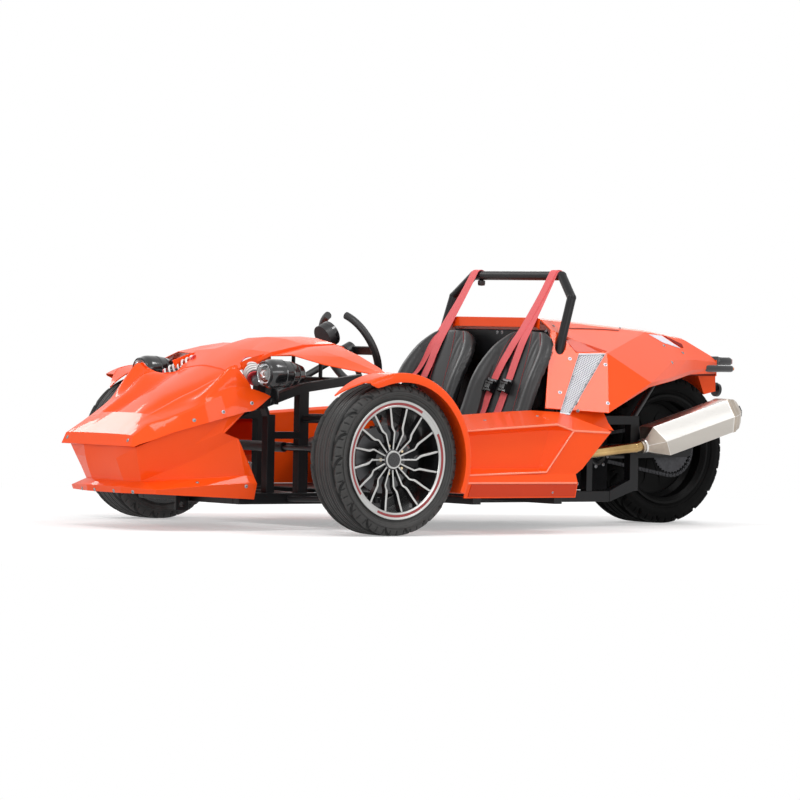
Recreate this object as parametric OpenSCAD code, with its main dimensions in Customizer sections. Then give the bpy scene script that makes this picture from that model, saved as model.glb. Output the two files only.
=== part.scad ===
/* [Overall] */
// Distance between the front and rear axles
wheelbase = 2020; // [1980:5:2100]
// Distance between the middles of the two front tyres
front_track = 1618; // [1600:2:1660]
// Nose tip ahead of the front axle
front_overhang = 815; // [805:1:850]
// Tail tip behind the rear axle
rear_overhang = 420; // [415:1:450]

/* [Front wheels] */
// Outside diameter of a front tyre
front_tyre_d = 596; // [580:2:604]
// Width of a front tyre
front_tyre_w = 200; // [185:1:205]
// Distance of the steering axis inboard of the tyre's middle
kingpin_offset = 50; // [46:1:54]
// Length of the steering arm ahead of the steering axis
steer_arm = 115; // [105:1:120]
// Half height between the two ball joints of an upright
upright_half = 140; // [130:1:145]
// Diameter of the stub axle
stub_d = 34; // [28:1:38]
// Diameter of a front brake disc
front_disc_d = 260; // [230:2:270]

/* [Rear wheel] */
// Outside diameter of the rear tyre
rear_tyre_d = 634; // [600:2:640]
// Width of the rear tyre
rear_tyre_w = 240; // [220:1:244]
// Diameter of the rear axle shaft
rear_axle_d = 24; // [20:1:30]
// Tip diameter of the rear sprocket
sprocket_d = 200; // [180:2:210]
// Diameter of the rear brake disc
rear_disc_d = 240; // [200:2:250]

/* [Rims] */
// Bead seat diameter of all three rims
bead_d = 432; // [426:1:438]
// Height of a rim flange over its bead seat
flange_h = 17; // [12:1:20]
// Number of spokes in a front rim
spokes = 16; // [10:1:20]
// Number of spokes in the rear rim
rear_spokes = 10; // [6:1:12]

/* [Frame] */
// Middle of a frame rail from the centre line
frame_half = 335; // [325:1:340]
// Width of the frame tubes
tube_w = 40; // [34:1:44]
// Height of the lower rails
rail_h = 45; // [38:1:50]
// Height of the frame over the ground
ride_height = 105; // [95:1:115]
// Front end of the lower rails ahead of the front axle
rail_front = 370; // [355:1:380]

/* [Roll hoop] */
// Diameter of the hoop tube
hoop_d = 38; // [30:1:42]
// Height of the middle of the top bar
hoop_top_z = 1041; // [1000:1:1080]
// Half length of the top bar
hoop_half = 300; // [285:1:315]
// Half distance between the hoop legs
hoop_leg_half = 420; // [415:1:425]

/* [Cockpit] */
// Middle of a seat from the centre line
seat_half = 260; // [255:1:265]
// Thickness of a seat shell with its padding
seat_t = 25; // [18:1:28]
// Diameter of the steering wheel between the middles of its grip
wheel_d = 344; // [330:2:370]
// Diameter of the steering wheel's grip
grip_d = 32; // [24:1:36]
// Width of a harness strap
strap_w = 46; // [36:1:50]

/* [Panels] */
// Thickness of the body panels
panel_t = 5; // [3:0.5:6]
// Gap at a panel seam
seam = 0.5; // [0.3:0.1:0.8]
// Radial play of a shaft in its bore
play = 0.4; // [0.3:0.1:0.6]

/* [Hidden] */
$fn = 48;
paint = "#f0561e";
black = "#1b1b1d";
rubber_black = "#26272a";
silver = "#c9ccd0";
red_web = "#e2373d";
white_coil = "#f2f0ee";

// Lengths are measured forward from the front axle, then moved so that the part is centred
front_axle_x = (wheelbase + rear_overhang - front_overhang) / 2;
rear_x = -wheelbase;
tail_x = rear_x - rear_overhang;
half_track = front_track / 2;
front_r = front_tyre_d / 2;
rear_r = rear_tyre_d / 2;
bead_r = bead_d / 2;
flange_r = bead_r + flange_h;
rail_top = ride_height + rail_h;
rail_out = frame_half + tube_w / 2;
rail_in = frame_half - tube_w / 2;
kingpin_y = half_track - kingpin_offset;

module place() translate([front_axle_x, 0, 0]) children();
module pair() {
    children();
    mirror([0, 1, 0]) children();
}

// A plate or beam drawn side on, between two distances from the centre line
module side_on(y0, y1) translate([0, y1, 0]) rotate([90, 0, 0]) linear_extrude(y1 - y0) children();
// A straight round bar between two points
module bar(a, b, r) {
    d = b - a;
    translate(a) rotate([0, acos(d[2] / norm(d)), atan2(d[1], d[0])]) cylinder(r = r, h = norm(d));
}
// Something drawn up the Z axis, turned to point from a to b
module aim(a, b) {
    d = b - a;
    translate(a) rotate([0, acos(d[2] / norm(d)), atan2(d[1], d[0])]) children();
}
module strip(a, b, h) polygon([a - [0, h / 2], b - [0, h / 2], b + [0, h / 2], a + [0, h / 2]]);

// A panel of even thickness through rows of points
function unit(v) = v / norm(v);
function across(rows, i, j) = rows[i][min(j + 1, len(rows[i]) - 1)] - rows[i][max(j - 1, 0)];
function along(rows, i, j) = rows[min(i + 1, len(rows) - 1)][j] - rows[max(i - 1, 0)][j];
function normal_at(rows, i, j) = unit(cross(along(rows, i, j), across(rows, i, j)));
function mirrored(p) = [p[0], -p[1], p[2]];
function backward(list) = [for (k = [len(list) - 1:-1:0]) list[k]];
// Both halves of a row that starts on the centre line
function whole(row) = concat([for (k = [len(row) - 1:-1:1]) mirrored(row[k])], row);
module skin(rows, t, turned = []) {
    n = len(rows);
    m = len(rows[0]);
    outer = [for (i = [0:n - 1]) for (j = [0:m - 1]) rows[i][j]];
    inner = [for (i = [0:n - 1]) for (j = [0:m - 1]) rows[i][j] - t * normal_at(rows, i, j)];
    size = n * m;
    grid = [for (i = [0:n - 2]) for (j = [0:m - 2])
        let (q = [i * m + j, i * m + j + 1, (i + 1) * m + j + 1, (i + 1) * m + j])
        len(search(j, turned)) > 0 ? [q[1], q[2], q[3], q[0]] : q];
    front = [for (q = grid) each [[q[0], q[1], q[2]], [q[0], q[2], q[3]]]];
    back = [for (f = front) [f[2] + size, f[1] + size, f[0] + size]];
    rim = concat([for (j = [0:m - 2]) [j + 1, j]],
        [for (j = [0:m - 2]) [(n - 1) * m + j, (n - 1) * m + j + 1]],
        [for (i = [0:n - 2]) [i * m, (i + 1) * m]],
            [for (i = [0:n - 2]) [(i + 2) * m - 1, (i + 1) * m - 1]]);
    edge = [for (e = rim) each [[e[0], e[1], e[1] + size], [e[0], e[1] + size, e[0] + size]]];
    polyhedron(concat(outer, inner), concat(front, back, edge));
}

// Lower frame: two rails, the cross tubes between them and the outriggers that carry the side pods
rear_knee_x = rear_x + 505;
module frame_rails() color(black) place() pair()
    translate([rear_knee_x, rail_in, ride_height]) cube([rail_front - rear_knee_x, tube_w, rail_h]);

pod_front = -(front_r + 41.8);
pod_out = 885;
outrigger_x = [-430, -840];
upright_x = -1115;
upright_top = 500;
cross_x = [40, -560, -1235, -1430];
eye_d = 20;
eye_z = 92;
eye_t = 12;
module frame_crossmembers() color(black) place() {
    for (x = cross_x) translate([x, -rail_in, ride_height]) cube([tube_w, 2 * rail_in, rail_h]);
    translate([rail_front - tube_w, -rail_in, ride_height]) cube([tube_w, 2 * rail_in, rail_h]);
    difference() {
        translate([rail_front, -eye_t / 2, eye_z - 24]) cube([60, eye_t, rail_top - eye_z + 24]);
        translate([rail_front + 34, 0, eye_z]) rotate([90, 0, 0])
            cylinder(d = eye_d, h = 40, center = true);
    }
    pair() {
        for (x = outrigger_x) translate([x, rail_out, ride_height + 16])
            cube([tube_w, pod_out - panel_t - 0.2 - rail_out, rail_h - 16 - seam]);
        translate([upright_x - 25, rail_out, ride_height])
            cube([50, hoop_leg_half + 22 - rail_out, rail_h]);
        translate([upright_x - 25, hoop_leg_half - 22, rail_top]) cube([50, 44, upright_top - rail_top]);
    }
}

// Front frame: side trusses with upper rail, two posts and mid rails
post_x = 60;
dash_x = -204;
dash_z = 590;
post_w = 46;
post_z = 566;
top_front_x = 262;
top_front_z = 500;
top_w = 36;
dash_top_z = 605;
front_post_x = 218;
front_post_h = 310;
brace_z = 378;
mid_z = 445;
rack_x = steer_arm;
rack_z = front_r + 32;
module front_truss() {
    strip([top_front_x, top_front_z], [post_x, post_z], top_w);
    strip([post_x, post_z], [dash_x - top_w / 2, dash_top_z], top_w);
    translate([post_x - post_w / 2, rail_top]) square([post_w, post_z - rail_top]);
    translate([dash_x - top_w / 2, rail_top]) square([top_w, dash_top_z - 5 - rail_top]);
    translate([front_post_x - top_w / 2, rail_top]) square([top_w, front_post_h]);
    strip([front_post_x + 10, rail_top + front_post_h - 8], [top_front_x - 12, top_front_z], 34);
    strip([post_x, brace_z], [front_post_x, brace_z], 28);
    strip([dash_x, mid_z], [post_x, mid_z], top_w);
}
shock_post_w = 24;
module front_frame() color(black) place() pair() {
    side_on(rail_in, rail_out) front_truss();
    translate([shock_out[0] - shock_post_w / 2, shock_out[1] + 4.3, top_front_z])
        cube([shock_post_w, shock_post_w, 90]);
}
dash_tube_r = 18;
post_r = 8;
hood_post_y = 95;
hood_post_top = 751.5;
deck_post_top = 805.5;
stay_x = rear_x + 60;
module upper_crossmembers() color(black) place() {
    translate([dash_x, rail_in, dash_z]) rotate([90, 0, 0]) cylinder(r = dash_tube_r, h = 2 * rail_in);
    translate([post_x - 15, -rail_in, rack_z - 15]) cube([30, 2 * rail_in, 30]);
    translate([stay_x, stay_end, stay_z]) rotate([90, 0, 0]) cylinder(r = stay_r, h = 2 * stay_end);
    translate([stay_x, 0, stay_z]) cylinder(r = post_r, h = deck_post_top - stay_z);
    pair() translate([dash_x, hood_post_y, dash_z]) cylinder(r = post_r, h = hood_post_top - dash_z);
}

// Rear frame: side trusses round the engine and the stays up to the tail
rear_post_gap = 375;
rear_post_x = rear_x + rear_post_gap;
stay_r = 13;
stay_end = 150;
stay_z = 655;
deck_rail_z = 445;
firewall_x = -1205;
module rear_truss() {
    polygon([[rear_knee_x, ride_height], [rear_knee_x, rail_top], [rear_post_x, 205], [rear_post_x, 150]]);
    translate([rear_post_x - 22, 150]) square([44, deck_rail_z + 18 - 150]);
    translate([rear_post_x, deck_rail_z - 18]) square([firewall_x - 60 - rear_post_x, 36]);
    translate([firewall_x - 60, rail_top]) square([36, deck_rail_z + 18 - rail_top]);
    translate([firewall_x - 215, rail_top]) square([30, deck_rail_z - rail_top]);
}
module rear_frame() color(black) place() {
    pair() {
        side_on(rail_in, rail_out) rear_truss();
        intersection() {
            bar([rear_post_x, frame_half, deck_rail_z + 5], [stay_x, stay_end - 6, stay_z], stay_r);
            translate([rear_x, stay_end, rail_top]) cube([800, 400, 800]);
        }
    }
}

// Roll hoop: a bent tube that leans back, standing on two uprights
hoop_lean = 0.31;
bead = 0.8;
hoop_bend_z = hoop_top_z - 90;
hoop_bend_half = hoop_leg_half - 20;
function hoop_at(y, z) = [upright_x - (z - upright_top) * hoop_lean, y, z];
module roll_hoop() color(black) place() {
    bar(hoop_at(-hoop_half, hoop_top_z), hoop_at(hoop_half, hoop_top_z), hoop_d / 2);
    pair() {
        bar(hoop_at(hoop_half, hoop_top_z), hoop_at(hoop_bend_half, hoop_bend_z), hoop_d / 2);
        translate(hoop_at(hoop_half, hoop_top_z)) sphere(r = hoop_d / 2 + bead);
        translate(hoop_at(hoop_bend_half, hoop_bend_z)) sphere(r = hoop_d / 2 + bead);
        intersection() {
            bar(hoop_at(hoop_bend_half, hoop_bend_z), hoop_at(hoop_leg_half, upright_top - 40), hoop_d / 2);
            translate([upright_x - 400, 0, upright_top]) cube([800, 900, 900]);
        }
    }
}

// Floor with the two seat plinths
floor_t = 4;
pod_side = 112;
pod_in = hoop_leg_half + pod_side;
pod_gap = 4;
floor_half = pod_in - pod_gap;
plinth_h = 138.7;
plinth_l = 250;
plinth_w = 260;
plinth_x = -880;
module floor_pan() color(black) place() {
    difference() {
        translate([firewall_x + 15, -floor_half, rail_top])
            cube([dash_x - 20 - firewall_x - 15, 2 * floor_half, floor_t]);
        pair() translate([upright_x - 30, hoop_leg_half - 27, rail_top - 1]) cube([60, 54, floor_t + 2]);
    }
    pair() translate([plinth_x, seat_half - plinth_w / 2, rail_top])
        cube([plinth_l, plinth_w, plinth_h - seam]);
}
firewall_top = 815;
firewall_side = 16;
firewall_half = hoop_leg_half - hoop_d / 2 - firewall_side;
firewall_top_half = firewall_half - 75;
firewall_shoulder = firewall_top - 125;
firewall_t = 10;
module firewall() color(black) place()
    translate([firewall_x, 0, 0]) rotate([90, 0, 90]) linear_extrude(firewall_t)
        polygon([[-firewall_half, rail_top],
        [firewall_half, rail_top], [firewall_half, firewall_shoulder], [firewall_top_half, firewall_top],
        [-firewall_top_half, firewall_top], [-firewall_half, firewall_shoulder]]);

// Nose: upper panel with a blunt band, a centre tongue, two shock scoops and a bolted side flange
// columns: [back, side, height] of the centre line, tongue edge, valley, scoop ridge, flange top, fold, foot
nose_table = [
    [[0, 0, 330], [0, 100, 330], [0, 150, 330], [0, 195, 330], [0, 232, 330], [0, 246, 330],
        [10, 259, 329]],
    [[17, 0, 376], [17, 100, 376], [17, 150, 375], [17, 190, 375], [17, 226, 374], [17, 240, 371],
        [27, 264, 338]],
    [[82, 0, 421], [82, 95, 421], [82, 140, 420], [82, 180, 420], [82, 224, 417], [82, 238, 411],
        [94, 277, 358]],
    [[135, 0, 458], [135, 92, 457], [135, 132, 450], [135, 166, 449], [135, 258, 437], [135, 271, 429],
        [147, 300, 380]],
    [[255, 0, 523], [255, 115, 516], [255, 215, 484], [255, 298, 488], [255, 314, 494], [255, 324, 485],
        [265, 345, 418]],
    [[320, 0, 556], [320, 130, 546], [320, 265, 528], [320, 318, 572], [320, 338, 530], [320, 348, 520],
        [328, 362, 437]],
    [[400, 0, 594], [400, 142, 580], [400, 272, 590], [395, 331, 643], [407, 352, 560], [407, 362, 548],
        [412, 376, 458]],
    [[504, 0, 645], [504, 150, 628], [470, 262, 612], [425, 330, 650], [486, 358, 562], [486, 367, 552],
        [498, 386, 481]],
    [[509, 0, 647], [509, 150, 630], [475, 262, 614], [430, 330, 651], [491, 359, 563], [545, 378, 545],
        [568, 388, 532]]];
function nose_row(r) = [for (p = r) [front_overhang - p[0], p[1], p[2]]];
module nose_upper() color(paint) place() skin(backward([for (r = nose_table) whole(nose_row(r))]), panel_t);

// Lower nose: a bumper that wraps round to the side panels, with a splitter lip
// columns: [back, side, height] of the top edge, shoulder, crease, foot, lip edge and lip underside
bumper_table = [
    [[30, 0, 328], [36, 0, 280], [48, 0, 235], [66, 0, 192], [42, 0, 168], [48, 0, 143]],
    [[18, 110, 328], [26, 110, 280], [42, 112, 235], [62, 112, 192], [40, 120, 168], [46, 120, 143]],
    [[36, 234, 326], [52, 222, 285], [70, 208, 240], [88, 196, 192], [90, 306, 162], [92, 298, 144]],
    [[255, 326, 424], [262, 310, 340], [270, 298, 280], [280, 304, 205], [275, 348, 178], [280, 340, 136]],
    [[395, 356, 462], [362, 352, 389], [427, 358, 366], [470, 360, 219], [470, 382, 190], [470, 372, 127]],
    [[480, 366, 486], [370, 358, 386], [433, 362, 362], [511, 363, 217], [511, 386, 188], [506, 375, 125]]];
function bumper_half() = [for (r = bumper_table) nose_row(r)];
// Lugs that stand the side panels off the rails
nose_lug_x = 345;
nose_lug_y = 371;
nose_lug_z = 140;
lug_r = 5;
module nose_lower() color(paint) place() {
    rows = bumper_half();
    skin(concat(backward(rows), [for (i = [1:len(rows) - 1]) [for (p = rows[i]) mirrored(p)]]), panel_t);
    pair() bar([nose_lug_x, rail_out + seam, nose_lug_z], [nose_lug_x, nose_lug_y, nose_lug_z], lug_r);
}

// Hood: columns are x, then [side, height] of the centre, brow, crease and side foot
hood_table = [
    [305, [0, 648.5], [100, 637.5], [184, 624], [186, 614]],
    [165, [0, 716], [130, 714], [266, 706], [268, 690]],
    [0, [0, 766], [130, 760], [254, 738], [256, 692]],
    [-170, [0, 770], [110, 765], [226, 744], [228, 700]],
    [-240, [0, 758], [90, 752], [206, 730], [208, 690]]];
function hood_row(r) = whole([for (k = [1:4]) [r[0], r[k][0], r[k][1]]]);
module hood() color(paint) place() skin(backward([for (r = hood_table) hood_row(r)]), panel_t);

// Cowl wings: the swept bridge from hood to fender; columns are front, middle and rear [x, side, height]
fender_r = front_r + 41;
fender_in = 19;
fender_top = front_r + fender_r;
wing_end = half_track - fender_in - seam;
wing_table = [
    [[163, 268.3, 694], [0, 255.6, 728], [-150, 233, 738]],
    [[160, 400, 699], [45, 395, 724], [-66, 400, 739]],
    [[125, 570, 664], [42, 575, 694], [-42, 580, 700]],
    [[70, wing_end - 60, fender_top + 3], [18, wing_end - 60, fender_top + 15],
        [-32, wing_end - 60, fender_top + 17]],
    [[50, wing_end, fender_top - 5], [14, wing_end, fender_top], [-16, wing_end, fender_top - 1]]];
module cowl_wings() color(paint) place() pair() skin(wing_table, panel_t);

// Front fenders: an arch with an outer lip round each front tyre
fender_out = 120;
fender_rear = 113;
fender_front = 43;
fender_tip_x = 232;
fender_lip_x = 110;
module wheel_place() translate([0, half_track, front_r]) rotate([-90, 0, 0]) children();
module fender_profile() {
    translate([fender_r - panel_t, -fender_in]) square([panel_t, fender_in + fender_out]);
    translate([fender_r - 16, fender_out - panel_t]) square([16, panel_t]);
}
module front_fenders() color(paint) place() pair() difference() {
    wheel_place() rotate([0, 0, -90 - fender_rear])
        rotate_extrude(angle = fender_rear + fender_front) fender_profile();
    translate([0, half_track, 0]) linear_extrude(2 * fender_top) polygon([[fender_tip_x, -fender_in - 1],
        [2 * fender_tip_x, -fender_in - 1], [2 * fender_tip_x, fender_out + 1],
            [fender_lip_x, fender_out + 1]]);
}

// Side pods: columns are [x, side, height] of inner foot, inner edge, crease, recess top, recess foot, step,
// flange and flange foot
function pod_row(x_in, x_top, x_low, z_in, z_top, deep) = [
    [x_in, pod_in, rail_top + floor_t + seam], [x_in, pod_in, z_in - 10], [x_in, pod_in + 22, z_in],
    [x_top, pod_out, z_top], [x_top + (x_low - x_top) * 0.12, pod_out - deep, z_top - 26],
    [x_top + (x_low - x_top) * 0.80, pod_out - deep, 262], [x_low, pod_out, 240],
    [x_low, pod_out + 14, 206], [x_low, pod_out, 146]];
pod_rows = [
    pod_row(pod_front, pod_front, pod_front, 452, 415, 32),
    pod_row(-600, -600, -560, 470, 430, 32),
    pod_row(-830, -795, -722, 484, 441, 32),
    pod_row(-930, -890, -748, 488, 414, 2),
    pod_row(-1080, -1085, -905, 482, 413, 2)];
module side_pods() color(paint) place() pair() skin(backward(pod_rows), panel_t);

// Rear body: columns are [x, side, height] of the deck edge, hip ridge, flank fold and foot
flank_top = [firewall_x + 25, 360, 817];
flank_foot = [-1020, pod_in + 2, 497];
flank_hip = [-1370, 500, 725];
flank_u = unit(flank_hip - flank_top);
flank_n = unit(cross(flank_foot - flank_top, flank_u));
flank_v = cross(flank_n, flank_u);
function flank_drop(x, z) = flank_n[0] * (x - flank_top[0]) + flank_n[2] * (z - flank_top[2]);
function on_flank(x, z) = [x, flank_top[1] - flank_drop(x, z) / flank_n[1], z];
tail_panel_x = rear_x - 282;
rear_rows = [
    [[firewall_x + 30, 300, 858], flank_top, on_flank(-1104, 665), flank_foot],
    [[-1330, 236, 850], flank_hip, on_flank(-1320, 602), on_flank(-1270, 482)],
    [[rear_x + 180, 178, 816], [rear_x + 117, 300, 702], [rear_x + 462, 560, 606],
        [rear_x + 466, 552, 586]],
    [[rear_x + 20, 132, 800], [rear_x, 236, 700], [rear_x + 168, 360, 630], [rear_x + 170, 352, 612]],
    [[rear_x - 90, 116, 784], [rear_x - 90, 186, 700], [rear_x - 60, 202, 656], [rear_x - 60, 194, 638]],
    [[tail_panel_x, 88, 709], [tail_panel_x, 100, 690], [tail_panel_x, 101, 668],
        [tail_panel_x, 100, 642]]];
module rear_panels() color(paint) place() pair() difference() {
    skin(backward(rear_rows), panel_t, [1]);
    bar(hoop_at(hoop_bend_half, hoop_bend_z), hoop_at(hoop_leg_half, upright_top - 40), hoop_d / 2 + 4);
    flank_plane() translate([0, 0, -3 * panel_t]) linear_extrude(6 * panel_t) grille_outline(0.88);
}
deck_crown = 8;
deck_lip = 40;
function deck_row(p, drop) = whole([[p[0], 0, p[2] + deck_crown - drop],
    [p[0], p[1] - 25, p[2] + deck_crown - drop],
    [p[0], p[1] - 0.7 * panel_t - seam, p[2] - drop]]);
module engine_cover() color(paint) place()
    skin(backward(concat([deck_row(rear_rows[0][0] + [6, 0, 0], deck_lip)],
    [for (r = rear_rows) deck_row(r[0], 0)])), panel_t);

// Perforated grille on each flank, in the plane of the panel and over a hole in it
grille_t = 2;
grille_hole = 13;
grille_pitch = 18;
grille_shape = [[150, -42], [222, -30], [212, -330], [172, -330]];
grille_mid = [189, -183];
module flank_plane() multmatrix([[flank_u[0], flank_v[0], flank_n[0], flank_top[0]],
    [flank_u[1], flank_v[1], flank_n[1], flank_top[1]],
    [flank_u[2], flank_v[2], flank_n[2], flank_top[2]], [0, 0, 0, 1]]) children();
module grille_outline(k) polygon([for (p = grille_shape) grille_mid + k * (p - grille_mid)]);
module grille_plate() difference() {
    grille_outline(1);
    intersection() {
        grille_outline(0.88);
        for (i = [-2:2]) for (j = [-9:9])
            translate(grille_mid + grille_pitch * [i + (abs(j) % 2) / 2, 0.87 * j])
                circle(d = grille_hole, $fn = 6);
    }
}
module side_grilles() color(silver) place() pair() flank_plane() translate([0, 0, seam])
    linear_extrude(grille_t)
    grille_plate();

// Tail: the bracket under the tail and the three lamps
tail_end = tail_panel_x - seam;
module tail_bracket() color(paint) place() {
    side_on(-90, 90) polygon([[rear_x - 190, 632], [rear_x - 225, 552], [rear_x - 290, 566],
        [tail_end - 5, 632]]);
    translate([tail_end - 5, -98, 631]) cube([5, 196, 70]);
}
module tail_lamps() color(black) place() {
    side_on(-38, 38) polygon([[tail_end - 5, 668], [tail_x, 680], [tail_x + 20, 696], [tail_end - 5, 700]]);
    pair() side_on(44, 76) polygon([[tail_end - 5, 648], [tail_x + 30, 650], [tail_x + 18, 664],
        [tail_end - 5, 676]]);
}

// Seats: path down the middle of a bucket; columns are x, height, half width, bolster height
seat_table = [
    [-505, 300, 215, 10], [-520, 318, 225, 22], [-600, 320, 232, 45], [-760, 320, 235, 62],
        [-880, 320, 235, 70],
    [-975, 360, 232, 78], [-1025, 460, 230, 82], [-1072, 600, 228, 72], [-1112, 720, 205, 40],
        [-1136, 790, 150, 14],
    [-1146, 812, 110, 4]];
function seat_dir(i) = let (a = seat_table[max(i - 1, 0)], b = seat_table[min(i + 1, len(seat_table) - 1)])
    unit([b[0] - a[0], b[1] - a[1]]);
function seat_row(i) = let (s = seat_table[i], d = seat_dir(i), up = [d[1], -d[0]])
    [for (p = [[-1, 0.55], [-0.92, 1], [-0.64, 0], [0, -0.1], [0.64, 0], [0.92, 1], [1, 0.55]])
        [s[0] + up[0] * p[1] * s[3], seat_half + p[0] * s[2], s[1] + up[1] * p[1] * s[3]]];
module seat() skin([for (i = [0:len(seat_table) - 1]) [for (k = [6:-1:0]) seat_row(i)[k]]], seat_t);
module seat_left() color(rubber_black) place() seat();
module seat_right() color(rubber_black) place() mirror([0, 1, 0]) seat();

// Harness: two straps a seat, from the hoop bar down the seat back; columns are side and height
strap_t = 3;
strap_gap = 16;
seat_face = [for (s = seat_table) [s[1], s[0]]];
function on_seat(y, z) = [lookup(z, [for (k = [4:len(seat_table) - 1]) seat_face[k]]) + strap_gap, y, z];
strap_paths = [[[271, 0], [272, 800], [250, 700], [232, 600], [240, 480]],
    [[232, 0], [210, 800], [172, 700], [150, 600], [150, 480]]];
function strap_middle(p) = concat([hoop_at(p[0][0], hoop_top_z) + [hoop_d / 2 + strap_t + seam, 0, 0]],
    [for (k = [1:len(p) - 1]) on_seat(p[k][0], p[k][1])]);
module harness() color(red_web) place() pair() for (p = strap_paths) {
    mid = strap_middle(p);
    skin([for (q = mid) [q - [0, strap_w / 2, 0], q + [0, strap_w / 2, 0]]], strap_t);
}

// Steering column, instrument and wheel share one sloping axis
column_gap = 55;
column_side = -(rail_in - column_gap);
wheel_centre = [-610, column_side, 716];
column_foot = [95, column_side, 372];
column_dir = unit(column_foot - wheel_centre);
column_r = 14;
module column_tube(r) bar(wheel_centre + 40 * column_dir, column_foot, r);
module pinion_box(grow) translate([rack_x - 28 - grow, column_side - 30 - grow, rack_z - 28 - grow])
    cube([56 + 2 * grow, 60 + 2 * grow, 60 + 2 * grow]);
module steering_column() color(black) place() difference() {
    union() {
        column_tube(column_r);
        translate([dash_x - 12, column_side - 20, 515]) cube([24, 40, dash_z - 515]);
    }
    pinion_box(seam);
    bar(wheel_centre, wheel_centre + 120 * column_dir, 10 + play);
    translate([dash_x, 0, dash_z]) rotate([90, 0, 0]) cylinder(r = 18 + seam, h = 900, center = true);
}
gauge_at = 84;
gauge_rise = 107;
module instrument_pod() color(black) place() aim(wheel_centre + gauge_at * column_dir,
    column_foot) difference() {
    union() {
        translate([-gauge_rise, 0, -28]) cylinder(r = 52, h = 50);
        translate([-gauge_rise, -12, -12]) cube([gauge_rise - 6, 24, 24]);
    }
    translate([0, 0, -60]) cylinder(r = column_r + seam, h = 120);
    translate([-gauge_rise, 0, -29]) cylinder(r = 44, h = 7);
}
wheel_gap = 44;
module steering_wheel() color(black) place() aim(wheel_centre, column_foot) {
    rotate([0, 0, 180 + wheel_gap / 2]) rotate_extrude(angle = 360 - wheel_gap) translate([wheel_d / 2, 0])
        circle(d = grip_d);
    for (a = [90, 270]) rotate([0, 0, a]) translate([20, -18, -4]) cube([wheel_d / 2 - 22, 36, 8]);
    translate([20, -14, -4]) cube([wheel_d / 2 - 22, 28, 8]);
    translate([0, 0, -12]) cylinder(r = 34, h = 40);
    cylinder(r = 10, h = 100);
}

// Front suspension
shock_in = [212, 178, 622];
shock_out = [258, 322, 572];
shock_len = norm(shock_in - shock_out);
coil_r = 29;
coil_wire = 5;
coil_turns = 7;
coil_steps = 10;
coil_sides = 6;
module coil(h0, h1) {
    last = coil_turns * coil_steps;
    pts = [for (k = [0:last]) let (a = k * 360 / coil_steps, h = h0 + (h1 - h0) * k / last)
        for (s = [0:coil_sides - 1])
        let (b = s * 360 / coil_sides, r = coil_r + coil_wire * cos(b))
            [r * cos(a), r * sin(a), h + coil_wire * sin(b)]];
    side = [for (k = [0:last - 1]) for (s = [0:coil_sides - 1])
        let (p = k * coil_sides + s, q = k * coil_sides + (s + 1) % coil_sides)
        each [[p, p + coil_sides, q + coil_sides], [p, q + coil_sides, q]]];
    end = last * coil_sides;
    polyhedron(pts, concat([[for (s = [0:coil_sides - 1]) s]], [[for (s = [coil_sides - 1:-1:0]) end + s]],
        side));
}
module damper(len) {
    cylinder(r = 9, h = len);
    translate([0, 0, 22]) cylinder(r = coil_r + 8, h = 8);
    translate([0, 0, 30]) cylinder(r = 20, h = len * 0.5);
    translate([0, 0, len - 30]) cylinder(r = coil_r + 8, h = 8);
}
module front_shocks() color(silver) place() pair() aim(shock_out, shock_in) damper(shock_len);
module front_springs() color(white_coil) place() pair() aim(shock_out, shock_in)
    coil(30 + 0.87 * coil_wire + seam, shock_len - 30 - 0.87 * coil_wire - seam);

arm_r = 11;
pin_r = 8;
upper_ball_z = front_r + upright_half;
lower_ball_z = front_r - upright_half;
upper_pivots = [[post_x, mid_z], [dash_x + 60, mid_z]];
lower_pivots = [[130, ride_height + 22], [-150, ride_height + 22]];
module wishbone(pivots, ball_z, way) {
    eye_z = ball_z + way * 22;
    for (p = pivots) bar([p[0], rail_out, p[1]], [0, kingpin_y, eye_z], arm_r);
    translate([0, kingpin_y, eye_z - 11]) cylinder(r = 19, h = 22);
    translate([0, kingpin_y, min(ball_z - way * 24, eye_z)]) cylinder(r = pin_r, h = 46);
}
arm_reach = 600;
arm_room = 900;
module front_arms() color(black) place() pair() intersection() {
    union() {
        wishbone(upper_pivots, upper_ball_z, 1);
        wishbone(lower_pivots, lower_ball_z, -1);
    }
    translate([-arm_reach, rail_out, 0]) cube([2 * arm_reach, arm_room, arm_room]);
}
rack_half = 300;
rack_r = 10;
rack_lug_l = 15;
module rack_housing() color(silver) place() difference() {
    union() {
        translate([rack_x, rack_half, rack_z]) rotate([90, 0, 0])
            cylinder(r = 2 * rack_r, h = 2 * rack_half);
        pinion_box(0);
        pair() translate([post_x + rack_lug_l, 160, rack_z - 14])
            cube([rack_x - post_x - rack_lug_l, 30, 28]);
    }
    translate([rack_x, 0, rack_z]) rotate([90, 0, 0]) cylinder(r = rack_r + play, h = 4 * rack_half,
        center = true);
}
tie_eye_z = rack_z - 10;
module rack_bar() color(silver) place() {
    translate([rack_x, kingpin_y, rack_z]) rotate([90, 0, 0]) cylinder(r = rack_r, h = 2 * kingpin_y);
    pair() translate([rack_x, kingpin_y, tie_eye_z]) cylinder(r = 15, h = 20);
}

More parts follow.
